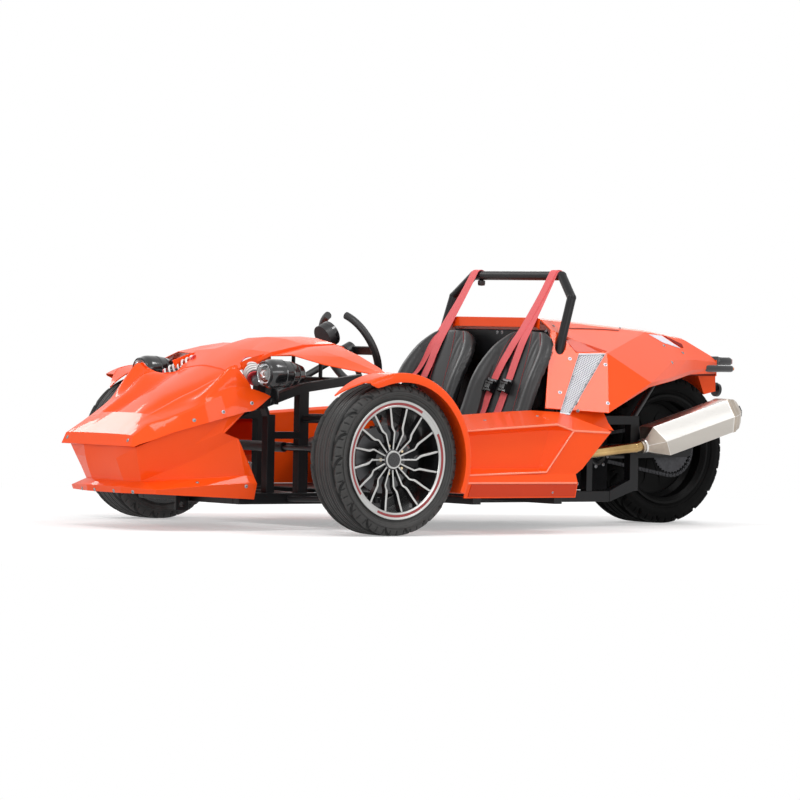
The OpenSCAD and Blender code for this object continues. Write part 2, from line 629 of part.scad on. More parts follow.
// Uprights: block, stub axle, steering arm and brake caliper; heights run outboard from the tyre's middle
disc_t = 10;
disc_face = -10;
brake_gap = 5;
upright_out = disc_face - disc_t - brake_gap - 3;
upright_d = 40;
hub_out = 62;
module caliper() difference() {
    translate([-front_disc_d / 2 - 28, upright_out - 1, -34])
        cube([72, disc_face + brake_gap + 22 - upright_out, 68]);
    translate([0, disc_face - disc_t - brake_gap, 0]) rotate([-90, 0, 0])
        cylinder(r = front_disc_d / 2 + brake_gap, h = disc_t + 2 * brake_gap);
}
module knuckle() difference() {
    union() {
        translate([0, half_track, front_r]) {
            translate([-22, upright_out - upright_d, -upright_half + 12])
                cube([44, upright_d, 2 * upright_half - 24]);
            translate([0, upright_out, 0]) rotate([-90, 0, 0])
                cylinder(d = stub_d, h = hub_out - 12 - upright_out);
            translate([-front_disc_d / 2 - 28, upright_out - upright_d, -34])
                cube([front_disc_d / 2 + 8, upright_d, 68]);
            caliper();
        }
        translate([0, kingpin_y - 14, tie_eye_z - 18 - seam]) cube([steer_arm + 14, 28, 18]);
    }
    translate([0, kingpin_y, 0]) cylinder(r = pin_r + play, h = lower_ball_z + 40);
    translate([0, kingpin_y, upper_ball_z - 40]) cylinder(r = pin_r + play, h = 100);
}
module knuckle_left() color(black) place() knuckle();
module knuckle_right() color(black) place() mirror([0, 1, 0]) knuckle();

// Tyres and rims; profiles are [radius, distance outboard of the middle]
shoulder_r = 26;
shoulder_steps = 5;
function bead_half(w) = w / 2 - 16;
function tyre_side(r, w) = concat([[bead_r + play, bead_half(w)], [flange_r + 3, bead_half(w)],
    [flange_r + 24, w / 2 - 1], [r - 40, w / 2]],
    [for (k = [0:shoulder_steps]) let (a = 90 * k / shoulder_steps)
        [r - shoulder_r + shoulder_r * sin(a), w / 2 - shoulder_r - 4 + shoulder_r * cos(a)]]);
function flipped(p) = [for (k = [len(p) - 1:-1:0]) [p[k][0], -p[k][1]]];
module tyre(r, w) rotate_extrude($fn = 96) polygon(concat(tyre_side(r, w), flipped(tyre_side(r, w))));
barrel_t = 8;
well_depth = 18;
flange_t = 8;
function barrel(w) = let (b = bead_half(w) + play) [
    [flange_r, -b - flange_t], [flange_r, -b], [bead_r, -b], [bead_r, -b + 30],
        [bead_r - well_depth, -b + 45],
    [bead_r - well_depth, b - 75], [bead_r, b - 60], [bead_r, b], [flange_r, b], [flange_r, b + flange_t],
    [flange_r - 9, b + flange_t], [bead_r - barrel_t, b - 10], [bead_r - barrel_t, b - 60],
        [bead_r - well_depth - barrel_t, b - 78],
    [bead_r - well_depth - barrel_t, -b + 48], [bead_r - barrel_t, -b + 30],
        [bead_r - barrel_t, -b - flange_t]];
spoke_w = 9;
spoke_kink = 16;
module spoke(r0, r1, w) {
    mid = r0 + (r1 - r0) * 0.62;
    polygon([[r0, -w / 2], [mid, -w / 2 + spoke_kink], [r1, -w / 2 - 4], [r1, w / 2 - 4],
        [mid, w / 2 + spoke_kink], [r0, w / 2]]);
}
hub_r = 40;
module rim_front() difference() {
    union() {
        rotate_extrude($fn = 96) polygon(barrel(front_tyre_w));
        translate([0, 0, disc_face]) cylinder(r = hub_r, h = hub_out + 12 - disc_face);
        translate([0, 0, hub_out - 14]) linear_extrude(18) for (k = [0:spokes - 1])
            rotate(k * 360 / spokes) spoke(hub_r - 4, bead_r - barrel_t + 2, spoke_w);
    }
    translate([0, 0, disc_face - 1]) cylinder(r = stub_d / 2 + play, h = hub_out - 11 - disc_face + 6);
}
module disc_front() difference() {
    translate([0, 0, disc_face - disc_t]) cylinder(d = front_disc_d, h = disc_t);
    translate([0, 0, disc_face - disc_t - 1]) cylinder(r = stub_d / 2 + 6, h = disc_t + 2);
}
module tyre_front_left() color(rubber_black) place() wheel_place() tyre(front_r, front_tyre_w);
module rim_front_left() color(silver) place() wheel_place() rim_front();
module disc_front_left() color(silver) place() wheel_place() disc_front();
module tyre_front_right() color(rubber_black) place() mirror([0, 1, 0]) wheel_place() tyre(front_r,
    front_tyre_w);
module rim_front_right() color(silver) place() mirror([0, 1, 0]) wheel_place() rim_front();
module disc_front_right() color(silver) place() mirror([0, 1, 0]) wheel_place() disc_front();

// Rear wheel with its sprocket on the left and brake disc on the right
module rear_place() translate([rear_x, 0, rear_r]) rotate([-90, 0, 0]) children();
sprocket_y = rear_tyre_w / 2 + 26;
sprocket_t = 7;
rear_hub_r = 42;
axle_bore_r = rear_axle_d / 2 + play;
module tyre_rear() color(rubber_black) place() rear_place() tyre(rear_r, rear_tyre_w);
module rim_rear() color(black) place() rear_place() difference() {
    union() {
        rotate_extrude($fn = 96) polygon(barrel(rear_tyre_w));
        translate([0, 0, -60]) cylinder(r = rear_hub_r, h = 120);
        translate([0, 0, -14]) linear_extrude(28) for (k = [0:rear_spokes - 1])
            rotate(k * 360 / rear_spokes) spoke(rear_hub_r - 4, bead_r - well_depth - barrel_t + 2, 16);
    }
    translate([0, 0, -80]) cylinder(r = axle_bore_r, h = 160);
}
teeth = 38;
module rear_hub() color(silver) place() rear_place() difference() {
    union() {
        translate([0, 0, 60]) cylinder(r = 34, h = sprocket_y - 60);
        translate([0, 0, sprocket_y - sprocket_t]) linear_extrude(sprocket_t) difference() {
            circle(d = sprocket_d);
            for (k = [0:teeth - 1]) rotate(k * 360 / teeth) translate([sprocket_d / 2, 0]) circle(r = 5);
        }
        translate([0, 0, -sprocket_y]) cylinder(r = 34, h = sprocket_y - 60);
        translate([0, 0, -sprocket_y]) cylinder(d = rear_disc_d, h = 6);
    }
    translate([0, 0, -200]) cylinder(r = axle_bore_r, h = 400);
}

// Swingarm, axle shaft and its pivot tube
arm_in = sprocket_y + 16;
arm_w = 38;
pivot_z = 310;
module swingarm() color(black) place() {
    pair() side_on(arm_in, arm_in + arm_w) union() {
        strip([rear_post_x, pivot_z], [rear_x - 40, rear_r], 62);
        translate([rear_x - 40, rear_r]) circle(r = 31);
        translate([rear_post_x, pivot_z]) circle(r = 31);
    }
    translate([rear_post_x, rail_in, pivot_z]) rotate([90, 0, 0]) cylinder(r = 26, h = 2 * rail_in);
    translate([rear_x, arm_in + arm_w, rear_r]) rotate([90, 0, 0])
        cylinder(d = rear_axle_d, h = 2 * arm_in + 2 * arm_w);
}
// Engine with its covers and drive sprocket
engine_front = firewall_x - 40;
engine_rear = rear_post_x + 36;
engine_half = 220;
engine_h = 240;
engine_lift = seam;
head_back = 110;
head_l = 200;
head_half = 150;
head_h = 170;
cover_back = 70;
cover_r = 62;
cover_t = 24;
cover_z = 300;
drive_x = engine_rear + 62;
drive_z = 330;
drive_r = 34;
chain_mid = sprocket_y - sprocket_t / 2;
module engine() color(black) place() {
    difference() {
        union() {
            translate([engine_rear, -engine_half, rail_top + engine_lift])
                cube([engine_front - engine_rear, 2 * engine_half, engine_h]);
            translate([engine_rear + head_back, -head_half, rail_top + engine_lift + engine_h])
                cube([head_l, 2 * head_half, head_h]);
            translate([engine_rear + cover_back, engine_half, cover_z]) rotate([-90, 0, 0])
                cylinder(r = cover_r, h = cover_t);
        }
        side_on(chain_mid - 15, chain_mid + 15) belt(drive_r + chain_h + 6,
            sprocket_d / 2 + 5 + chain_h + 6);
    }
    translate([drive_x, chain_mid + 16, drive_z]) rotate([90, 0, 0]) cylinder(r = drive_r - seam, h = 32);
}
// Drive chain: one loop round both sprockets
chain_h = 12;
module belt(r0, r1) {
    d = norm([drive_x - rear_x, drive_z - rear_r]);
    lean = atan2(drive_z - rear_r, drive_x - rear_x);
    a = acos((r1 - r0) / d);
    translate([rear_x, rear_r]) rotate(lean) {
        circle(r = r1);
        translate([d, 0]) circle(r = r0);
        polygon([r1 * [cos(a), sin(a)], r1 * [cos(a), -sin(a)], [d, 0] + r0 * [cos(a), -sin(a)],
            [d, 0] + r0 * [cos(a), sin(a)]]);
    }
}
module drive_chain() color(silver) place() side_on(chain_mid - 8, chain_mid + 8) difference() {
    belt(drive_r + chain_h, sprocket_d / 2 + 5 + chain_h);
    belt(drive_r, sprocket_d / 2 + 5);
}

// Exhaust on the left
silencer_side = 37;
silencer_y = rail_out + silencer_side;
silencer_ahead = 358;
silencer_behind = 178;
silencer_in = [rear_x + silencer_ahead, silencer_y, 343];
silencer_out = [rear_x - silencer_behind, silencer_y, 463];
silencer_inlet_r = 26;
silencer_end_r = 42;
silencer_cone = 90;
silencer_cap = 61;
silencer_r = 78;
pipe_r = 22;
pipe_z = 306;
module exhaust_pipe() color("#b08d57") place() {
    back = unit(silencer_out - silencer_in);
    bend_a = [engine_front - 90, silencer_y, pipe_z];
    bend_b = silencer_in - 45 * back;
    bar([bend_a[0], engine_half + seam, pipe_z], bend_a, pipe_r);
    translate(bend_a) sphere(r = pipe_r + bead);
    bar(bend_a, bend_b, pipe_r);
    translate(bend_b) sphere(r = pipe_r + bead);
    bar(bend_b, silencer_in - seam * back, pipe_r);
}
module silencer() color(silver) place() aim(silencer_in, silencer_out) {
    len = norm(silencer_out - silencer_in);
    rotate([0, 0, 22.5]) {
        translate([0, 0, silencer_cone])
            cylinder(r = silencer_r, h = len - silencer_cone - silencer_cap + 1, $fn = 8);
        hull() {
            cylinder(r = silencer_inlet_r, h = 6, $fn = 24);
            translate([0, 0, silencer_cone]) cylinder(r = silencer_r, h = 1, $fn = 8);
        }
        hull() {
            translate([0, 0, len - silencer_cap]) cylinder(r = silencer_r, h = 1, $fn = 8);
            translate([0, 0, len - 6]) cylinder(r = silencer_end_r, h = 6, $fn = 24);
        }
    }
}

// Headlamps on side plates of the upper rails
lamp_side = 85;
lamp_mid = [320, rail_out + lamp_side, 622];
lamp_len = 190;
lamp_lens_r = 41;
lamp_arm = [210, 590];
lamp_arm_r = 12;
lamp_plate = [40, 6, 104];
lamp_plate_z = 500;
module headlamps() color(black) place() pair() {
    difference() {
        translate(lamp_mid) rotate([0, -90, 0]) rotate_extrude()
            polygon([[0, 0], [46, 0], [48, 10], [58, 34], [58, 70], [50, 120],
            [34, lamp_len - 14], [20, lamp_len], [0, lamp_len]]);
        translate(lamp_mid + [1, 0, 0]) rotate([0, -90, 0]) cylinder(r = lamp_lens_r, h = 7);
    }
    translate([lamp_arm[0], rail_out + lamp_plate[1], lamp_arm[1]]) rotate([-90, 0, 0])
        cylinder(r = lamp_arm_r, h = 45);
    translate([lamp_arm[0] - lamp_plate[0] / 2, rail_out, lamp_plate_z]) cube(lamp_plate);
}

// Pedals on the rack cross tube
pedal_y = [-290, -225, -160];
module pedals() color(silver) place() for (y = pedal_y) {
    translate([0, y, 0]) side_on(-5, 5)
        polygon([[post_x - 15, rack_z + 10], [post_x - 60, rack_z], [post_x - 92, 205], [post_x - 78, 205],
        [post_x - 48, rack_z - 14], [post_x - 15, rack_z - 12]]);
    translate([post_x - 98, y - 24, 195]) cube([10, 48, 60]);
}

frame_rails();
frame_crossmembers();
upper_crossmembers();
front_frame();
rear_frame();
roll_hoop();
floor_pan();
firewall();
nose_upper();
nose_lower();
hood();
cowl_wings();
front_fenders();
side_pods();
engine_cover();
rear_panels();
side_grilles();
tail_bracket();
tail_lamps();
seat_left();
seat_right();
harness();
instrument_pod();
steering_column();
headlamps();
front_shocks();
front_springs();
front_arms();
rack_housing();
engine();
exhaust_pipe();
silencer();
swingarm();
drive_chain();
pedals();
knuckle_left();
knuckle_right();
tyre_front_left();
rim_front_left();
disc_front_left();
tyre_front_right();
rim_front_right();
disc_front_right();
tyre_rear();
rim_rear();
rear_hub();
steering_wheel();
rack_bar();
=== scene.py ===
"""Looks of the open three-wheeled roadster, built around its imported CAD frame."""

import math

import bmesh
import bpy
import numpy as np
from mathutils import Matrix, Vector
from mathutils.bvhtree import BVHTree


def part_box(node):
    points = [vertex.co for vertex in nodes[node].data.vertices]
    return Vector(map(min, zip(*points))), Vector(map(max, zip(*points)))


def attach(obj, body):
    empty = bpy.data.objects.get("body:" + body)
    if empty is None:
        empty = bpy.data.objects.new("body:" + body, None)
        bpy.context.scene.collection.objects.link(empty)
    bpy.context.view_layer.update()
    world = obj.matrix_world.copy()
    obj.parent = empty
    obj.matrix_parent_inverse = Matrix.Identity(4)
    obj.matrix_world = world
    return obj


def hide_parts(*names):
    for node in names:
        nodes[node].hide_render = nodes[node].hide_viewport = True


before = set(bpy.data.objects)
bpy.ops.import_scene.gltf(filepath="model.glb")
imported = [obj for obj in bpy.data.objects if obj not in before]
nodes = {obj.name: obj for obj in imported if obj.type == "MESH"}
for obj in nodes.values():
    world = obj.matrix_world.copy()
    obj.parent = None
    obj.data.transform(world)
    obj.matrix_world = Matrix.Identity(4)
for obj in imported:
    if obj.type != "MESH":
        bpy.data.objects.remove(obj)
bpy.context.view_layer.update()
scene = bpy.context.scene

# lengths below are metres from the front axle; FRONT_AXLE_X moves them to the part's frame
FRONT_AXLE_X = 0.8125
REAR_AXLE_X = FRONT_AXLE_X - 2.020
HALF_TRACK = 0.809
FRONT_R = 0.298
REAR_R = 0.317
FRONT_TYRE_WIDTH = 0.200
REAR_TYRE_WIDTH = 0.240
SEAT_Y = 0.260


def at(x, y, z):
    """A point given from the front axle, in the part's frame."""
    return Vector((x + FRONT_AXLE_X, y, z))


def new_object(name, data):
    """An object of that data, linked to the scene."""
    made = bpy.data.objects.new(name, data)
    scene.collection.objects.link(made)
    return made


# Camera, at the photograph's place
CAMERA_AT = at(11.31524, 16.01933, 0.81154)
CAMERA_YAW = 4.06966
CAMERA_PITCH = -0.0148
CAMERA_ROLL = 0.01943
CAMERA_LENS = 218.38
SENSOR_WIDTH = 36
FOCAL_PIXELS = 4852.9
IMAGE_MIDDLE = 400


def camera_axes():
    cp, sp = math.cos(CAMERA_PITCH), math.sin(CAMERA_PITCH)
    forward = Vector((cp * math.cos(CAMERA_YAW), cp * math.sin(CAMERA_YAW), sp))
    right = forward.cross(Vector((0, 0, 1))).normalized()
    up = right.cross(forward)
    cr, sr = math.cos(CAMERA_ROLL), math.sin(CAMERA_ROLL)
    return right * cr + up * sr, up * cr - right * sr, forward


def add_camera():
    data = bpy.data.cameras.new("photo_camera")
    data.sensor_width = SENSOR_WIDTH
    data.lens = CAMERA_LENS
    data.clip_end = 200
    camera = new_object("photo_camera", data)
    right, up, forward = camera_axes()
    turn = Matrix((right, up, -forward)).transposed()
    camera.matrix_world = Matrix.Translation(CAMERA_AT) @ turn.to_4x4()
    scene.camera = camera


def pixel_ray(u, v):
    """Direction from the camera through a place in the photograph."""
    right, up, forward = camera_axes()
    across = (u - IMAGE_MIDDLE) / FOCAL_PIXELS
    down = (v - IMAGE_MIDDLE) / FOCAL_PIXELS
    return (forward + right * across - up * down).normalized()


def seen_on_plane(px, py, origin, n):
    """Where the sight line through a place in the photograph meets a plane."""
    way = pixel_ray(px, py)
    return CAMERA_AT + way * ((origin - CAMERA_AT).dot(n) / way.dot(n))


def first_hit(trees, px, py):
    """The nearest panel point on a sight line, with the direction that the panel faces there."""
    way = pixel_ray(px, py)
    found = [tree.ray_cast(CAMERA_AT, way) for tree in trees]
    found = [hit for hit in found if hit[0] is not None]
    if not found:
        return None
    place, normal = min(found, key=lambda hit: hit[3])[:2]
    return place, normal if normal.dot(way) < 0 else -normal


# Materials
def new_material(name, color, roughness, metallic=0.0, **sockets):
    mat = bpy.data.materials.new(name)
    mat.use_nodes = True
    shader = mat.node_tree.nodes["Principled BSDF"]
    shader.inputs["Base Color"].default_value = (*color, 1)
    shader.inputs["Roughness"].default_value = roughness
    shader.inputs["Metallic"].default_value = metallic
    for key, value in sockets.items():
        shader.inputs[key.replace("_", " ")].default_value = value
    mat.diffuse_color = (*color, 1)
    return mat, shader


def tree_node(tree, kind, **settings):
    """A new node; a setting fills the input of that name, or else the node's own property."""
    node = tree.nodes.new(kind)
    for key, value in settings.items():
        if key in node.inputs:
            node.inputs[key].default_value = value
        else:
            setattr(node, key, value)
    return node


def add_node(mat, kind, **settings):
    return tree_node(mat.node_tree, kind, **settings)


def wire(tree, *pairs):
    for out, into in pairs:
        tree.links.new(out, into)


def link(mat, out, into):
    wire(mat.node_tree, (out, into))


def object_place(mat, stretch=(1, 1, 1)):
    place = add_node(mat, "ShaderNodeTexCoord")
    mapping = add_node(mat, "ShaderNodeMapping", Scale=stretch)
    link(mat, place.outputs["Object"], mapping.inputs["Vector"])
    return mapping.outputs["Vector"]


def noise(mat, vector, scale, detail=4.0):
    node = add_node(mat, "ShaderNodeTexNoise", Scale=scale, Detail=detail, Roughness=0.6)
    link(mat, vector, node.inputs["Vector"])
    return node.outputs["Fac"]


def ramp(mat, value, stops):
    node = add_node(mat, "ShaderNodeValToRGB")
    elements = node.color_ramp.elements
    while len(elements) < len(stops):
        elements.new(0.5)
    for element, (place, color) in zip(elements, stops):
        element.position = place
        element.color = (*color, 1)
    link(mat, value, node.inputs["Fac"])
    return node.outputs["Color"]


def between(mat, value, low, high):
    node = add_node(mat, "ShaderNodeMapRange")
    node.inputs["To Min"].default_value = low
    node.inputs["To Max"].default_value = high
    link(mat, value, node.inputs["Value"])
    return node.outputs["Result"]


def bump(mat, shader, height, strength, distance):
    node = add_node(mat, "ShaderNodeBump", Strength=strength, Distance=distance)
    link(mat, height, node.inputs["Height"])
    link(mat, node.outputs["Normal"], shader.inputs["Normal"])


def shade(color, k):
    return tuple(min(1.0, c * k) for c in color)


def finish_material(name, color, roughness, metallic=0.0, vary=0.12, patch=9.0, grain=900.0,
                    grain_depth=0.0001,
                    grain_strength=0.25, rough_span=0.08, stretch=(1, 1, 1), **sockets):
    """A finish with patches of slightly different tone and gloss, and a fine grain."""
    mat, shader = new_material(name, color, roughness, metallic, **sockets)
    vector = object_place(mat, stretch)
    tone = noise(mat, vector, patch)
    toned = ramp(mat, tone, [(0.3, shade(color, 1 - vary)), (0.7, shade(color, 1 + vary))])
    link(mat, toned, shader.inputs["Base Color"])
    fine = noise(mat, vector, grain, 2.0)
    gloss = between(mat, fine, max(0.02, roughness - rough_span), roughness + rough_span)
    link(mat, gloss, shader.inputs["Roughness"])
    bump(mat, shader, fine, grain_strength, grain_depth)
    return mat


ORANGE = (0.93, 0.080, 0.005)
# painted shade: the orange as it looks in shade, for facets that face down
PAINTED_SHADE_ORANGE = (0.60, 0.040, 0.004)
paint = finish_material("orange_paint", ORANGE, 0.42, vary=0.03, patch=3.0, grain=420.0,
                        grain_depth=0.00003, grain_strength=0.12, rough_span=0.03, Specular_IOR_Level=0.08,
                        Coat_Weight=0.32, Coat_Roughness=0.05)
# painted highlight: a lighter pink-orange for the pod folds, standing in for the sky caught on their
# rounded edges; the full coat is their real gloss
fold_painted_highlight = finish_material("fold_painted_highlight", (1.0, 0.20, 0.09), 0.26, vary=0.05, patch=9.0,
                             Specular_IOR_Level=0.5, Coat_Weight=1.0, Coat_Roughness=0.08)
# painted shade: a darker copy of the orange paint, laid on facets that are darker only because they face
# down
painted_shade_paint = finish_material("orange_paint_painted_shade", PAINTED_SHADE_ORANGE, 0.42, vary=0.03, patch=3.0,
                               Specular_IOR_Level=0.10, Coat_Weight=0.3)
vent_white = finish_material("vent_white", (0.80, 0.78, 0.86), 0.5, vary=0.05, patch=30.0)
dark_red = finish_material("panel_gap_red", (0.24, 0.010, 0.005), 0.5, vary=0.06, patch=6.0,
                           Specular_IOR_Level=0.1)
frame_black = finish_material("black_powder_coat", (0.006, 0.006, 0.007), 0.40, vary=0.2, grain=1300.0,
                              grain_strength=0.35, Specular_IOR_Level=0.28)
satin_black = finish_material("satin_black", (0.012, 0.012, 0.013), 0.44, vary=0.2, grain=700.0)
engine_black = finish_material("engine_black", (0.005, 0.005, 0.006), 0.52, vary=0.35, patch=14.0,
                               grain=500.0, grain_depth=0.0003, Specular_IOR_Level=0.06)
engine_gloss = finish_material("engine_cover_black", (0.013, 0.013, 0.014), 0.24, vary=0.2, grain=800.0)
rubber = finish_material("tyre_rubber", (0.026, 0.025, 0.024), 0.58, vary=0.25, patch=22.0, grain=1500.0,
                         rough_span=0.10)
machined = finish_material("machined_alloy", (0.46, 0.46, 0.45), 0.34, 1.0, vary=0.06, grain=1600.0,
                           grain_strength=0.15)
rim_black = finish_material("rim_black", (0.010, 0.010, 0.011), 0.27, vary=0.15, grain=900.0,
                            grain_strength=0.1, Coat_Weight=0.4)
# painted shade: a darker, duller copy of the rim black for the rear rim and its web, which sit in shade
# under the body
rear_rim_black_painted_shade = finish_material("rear_rim_black_painted_shade", (0.003, 0.003, 0.003), 0.45, vary=0.2,
                                 Specular_IOR_Level=0.1)
# painted shade: a darker, duller copy of the tyre rubber for the rear tyre, which sits in shade under the
# body
rear_rubber_painted_shade = finish_material("rear_tyre_rubber_painted_shade", (0.005, 0.005, 0.005), 0.70, vary=0.25, patch=22.0,
                              grain=1500.0, rough_span=0.10, Specular_IOR_Level=0.06)
grille_steel = finish_material("grille_steel", (0.58, 0.58, 0.61), 0.60, 1.0, vary=0.06, patch=40.0)
rim_red = finish_material("rim_red", (0.26, 0.010, 0.012), 0.34, vary=0.1, patch=30.0, Coat_Weight=0.5)
brass_nut = finish_material("plated_nut", (0.72, 0.58, 0.38), 0.28, 1.0, vary=0.12, patch=80.0)
can_steel = finish_material("can_steel", (0.74, 0.72, 0.69), 0.30, 1.0, vary=0.06, patch=5.0, grain=320.0,
                            stretch=(0.1, 1, 1), rough_span=0.07)
# painted shade: a darker copy of the can steel for the can's lower faces
can_painted_shade = finish_material("can_steel_painted_shade", (0.50, 0.47, 0.43), 0.32, 1.0, vary=0.06, patch=5.0,
                            grain=320.0, stretch=(0.1, 1, 1))
warm_steel = finish_material("heated_steel", (0.44, 0.38, 0.32), 0.36, 1.0, vary=0.14, patch=16.0)
bolt_steel = finish_material("bolt_steel", (0.30, 0.30, 0.31), 0.30, 1.0, vary=0.08, patch=60.0)
disc_steel = finish_material("disc_steel", (0.13, 0.13, 0.135), 0.42, 1.0, vary=0.15, patch=20.0)
chain_steel = finish_material("chain_steel", (0.060, 0.060, 0.064), 0.46, 1.0, vary=0.2, patch=60.0)
pipe_tint = finish_material("tinted_pipe", (0.50, 0.33, 0.14), 0.15, 1.0, vary=0.3, patch=7.0)
coil_white = finish_material("coil_white", (0.78, 0.76, 0.75), 0.3, vary=0.04, Coat_Weight=0.6)
anodized_red = finish_material("anodized_red", (0.62, 0.05, 0.06), 0.3, 0.8, vary=0.1, patch=40.0)
chrome = finish_material("chrome", (0.84, 0.84, 0.85), 0.07, 1.0, vary=0.03, rough_span=0.02,
                         grain_strength=0.03)
plastic = finish_material("moulded_plastic", (0.011, 0.011, 0.012), 0.42, vary=0.15, grain=1100.0,
                          grain_strength=0.3)
gloss_black = finish_material("lamp_gloss_black", (0.009, 0.009, 0.010), 0.2, vary=0.1, grain_strength=0.05,
                              Coat_Weight=0.5)
seat_vinyl = finish_material("seat_vinyl", (0.013, 0.013, 0.014), 0.40, vary=0.2, patch=12.0, grain=620.0,
                             grain_depth=0.0004, grain_strength=0.4)
red_thread = finish_material("red_thread", (0.55, 0.02, 0.025), 0.6, vary=0.15, patch=200.0)
red_lens = finish_material("red_lens", (0.32, 0.006, 0.008), 0.12, vary=0.08, patch=60.0, Coat_Weight=1.0)
amber_lens = finish_material("amber_lens", (0.75, 0.20, 0.01), 0.14, vary=0.08, patch=60.0, Coat_Weight=1.0)
lamp_glass = finish_material("lamp_glass", (0.97, 0.98, 0.98), 0.03, vary=0.01, rough_span=0.01,
                             grain_strength=0.02, Transmission_Weight=1.0)


def paint_shade_in_cuts(mat):
    """Paints shade into the tread's cuts: darker by the depth kept with the tyre's points."""
    color = mat.node_tree.nodes["Principled BSDF"].inputs["Base Color"]
    tone = color.links[0].from_socket
    depth = add_node(mat, "ShaderNodeAttribute", attribute_name="tread_cut_shade")
    mix = add_node(mat, "ShaderNodeMix", data_type="RGBA")
    factor, plain, deep = mix.inputs[0], mix.inputs[6], mix.inputs[7]
    deep.default_value = (0.0015, 0.0015, 0.0015, 1)
    link(mat, depth.outputs["Fac"], factor)
    link(mat, tone, plain)
    link(mat, mix.outputs[2], color)


paint_shade_in_cuts(rubber)
paint_shade_in_cuts(rear_rubber_painted_shade)


def weave_material(name, color):
    """Webbing: ribs across the strap crossed with rows along it, drawn in the strap's own flat lengths."""
    mat, shader = new_material(name, color, 0.62)
    flat = add_node(mat, "ShaderNodeUVMap", uv_map="weave")
    ribs = add_node(mat, "ShaderNodeTexWave", Scale=110.0, Distortion=0.3, bands_direction="Y")
    rows = add_node(mat, "ShaderNodeTexWave", Scale=60.0, Distortion=0.2, bands_direction="X")
    both = add_node(mat, "ShaderNodeMath", operation="MULTIPLY")
    wire(mat.node_tree, (flat.outputs["UV"], ribs.inputs["Vector"]),
         (flat.outputs["UV"], rows.inputs["Vector"]), (ribs.outputs["Fac"], both.inputs[0]),
         (rows.outputs["Fac"], both.inputs[1]))
    toned = ramp(mat, both.outputs[0], [(0.0, shade(color, 0.75)), (1.0, shade(color, 1.15))])
    link(mat, toned, shader.inputs["Base Color"])
    bump(mat, shader, both.outputs[0], 0.5, 0.0006)
    return mat


webbing = weave_material("red_webbing", (1.0, 0.150, 0.160))


# Stage: floor, world and lamps
FLOOR_HALF = 60
FLOOR_GLOW = 0.36
FLOOR_TONE = 0.70
WORLD_LIGHT = 0.62
WHITE_FROM, WHITE_AT = 2.4, 4.2


def plain_view(tree):
    """One where the surroundings are seen straight, in a mirror or through glass, and nought elsewhere."""
    path = tree_node(tree, "ShaderNodeLightPath")
    first = tree_node(tree, "ShaderNodeMath", operation="MAXIMUM")
    second = tree_node(tree, "ShaderNodeMath", operation="MAXIMUM")
    wire(tree, (path.outputs["Is Camera Ray"], first.inputs[0]),
         (path.outputs["Is Glossy Ray"], first.inputs[1]), (first.outputs[0], second.inputs[0]),
         (path.outputs["Is Transmission Ray"], second.inputs[1]))
    return second.outputs[0]


def add_stage():
    mesh = bpy.data.meshes.new("floor")
    corners = [(x * FLOOR_HALF, y * FLOOR_HALF, 0) for x, y in ((-1, -1), (1, -1), (1, 1), (-1, 1))]
    mesh.from_pydata(corners, [], [(0, 1, 2, 3)])
    floor = new_object("floor", mesh)
    mat, shader = new_material("pale_floor", (FLOOR_TONE, FLOOR_TONE, FLOOR_TONE), 0.9)
    mesh.materials.append(mat)
    tree = mat.node_tree
    glow = add_node(mat, "ShaderNodeEmission", Strength=FLOOR_GLOW)
    both = add_node(mat, "ShaderNodeAddShader")
    far = add_node(mat, "ShaderNodeVectorMath", operation="LENGTH")
    fade = add_node(mat, "ShaderNodeMapRange", interpolation_type="SMOOTHSTEP")
    fade.inputs["From Min"].default_value = WHITE_FROM
    fade.inputs["From Max"].default_value = WHITE_AT
    white = add_node(mat, "ShaderNodeEmission", Strength=1.0)
    lit = add_node(mat, "ShaderNodeMixShader")
    choose = add_node(mat, "ShaderNodeMixShader")
    wire(tree, (glow.outputs[0], both.inputs[0]), (shader.outputs[0], both.inputs[1]),
         (object_place(mat), far.inputs[0]), (far.outputs["Value"], fade.inputs["Value"]),
         (fade.outputs["Result"], lit.inputs["Fac"]), (both.outputs[0], lit.inputs[1]),
         (white.outputs[0], lit.inputs[2]), (plain_view(tree), choose.inputs["Fac"]),
         (shader.outputs[0], choose.inputs[1]), (lit.outputs[0], choose.inputs[2]),
         (choose.outputs[0], tree.nodes["Material Output"].inputs["Surface"]))

    world = bpy.data.worlds.new("studio")
    world.use_nodes = True
    scene.world = world
    tree = world.node_tree
    background = tree.nodes["Background"]
    background.inputs["Color"].default_value = (1, 1, 1, 1)
    background.inputs["Strength"].default_value = WORLD_LIGHT
    sky = tree_node(tree, "ShaderNodeBackground", Color=(1, 1, 1, 1), Strength=1.0)
    pick = tree_node(tree, "ShaderNodeMixShader")
    wire(tree, (plain_view(tree), pick.inputs["Fac"]), (background.outputs[0], pick.inputs[1]),
         (sky.outputs[0], pick.inputs[2]), (pick.outputs[0], tree.nodes["World Output"].inputs["Surface"]))
    scene.view_settings.view_transform = "Standard"


def add_softbox(name, place, aim, size, power):
    data = bpy.data.lights.new(name, "AREA")
    data.shape = "RECTANGLE"
    data.size, data.size_y = size
    data.energy = power
    lamp = new_object(name, data)
    turn = (aim - place).to_track_quat("-Z", "Y")
    lamp.matrix_world = Matrix.Translation(place) @ turn.to_matrix().to_4x4()
    lamp.visible_camera = False


# Mesh helpers
BEVEL_SEGMENTS = 2
SOFTENED_SHARP = 50


def mesh_of(name, bm):
    """A bmesh as mesh data; the bmesh is freed."""
    mesh = bpy.data.meshes.new(name)
    bm.to_mesh(mesh)
    bm.free()
    return mesh


def evaluated_mesh(holder):
    graph = bpy.context.evaluated_depsgraph_get()
    return bpy.data.meshes.new_from_object(holder.evaluated_get(graph))


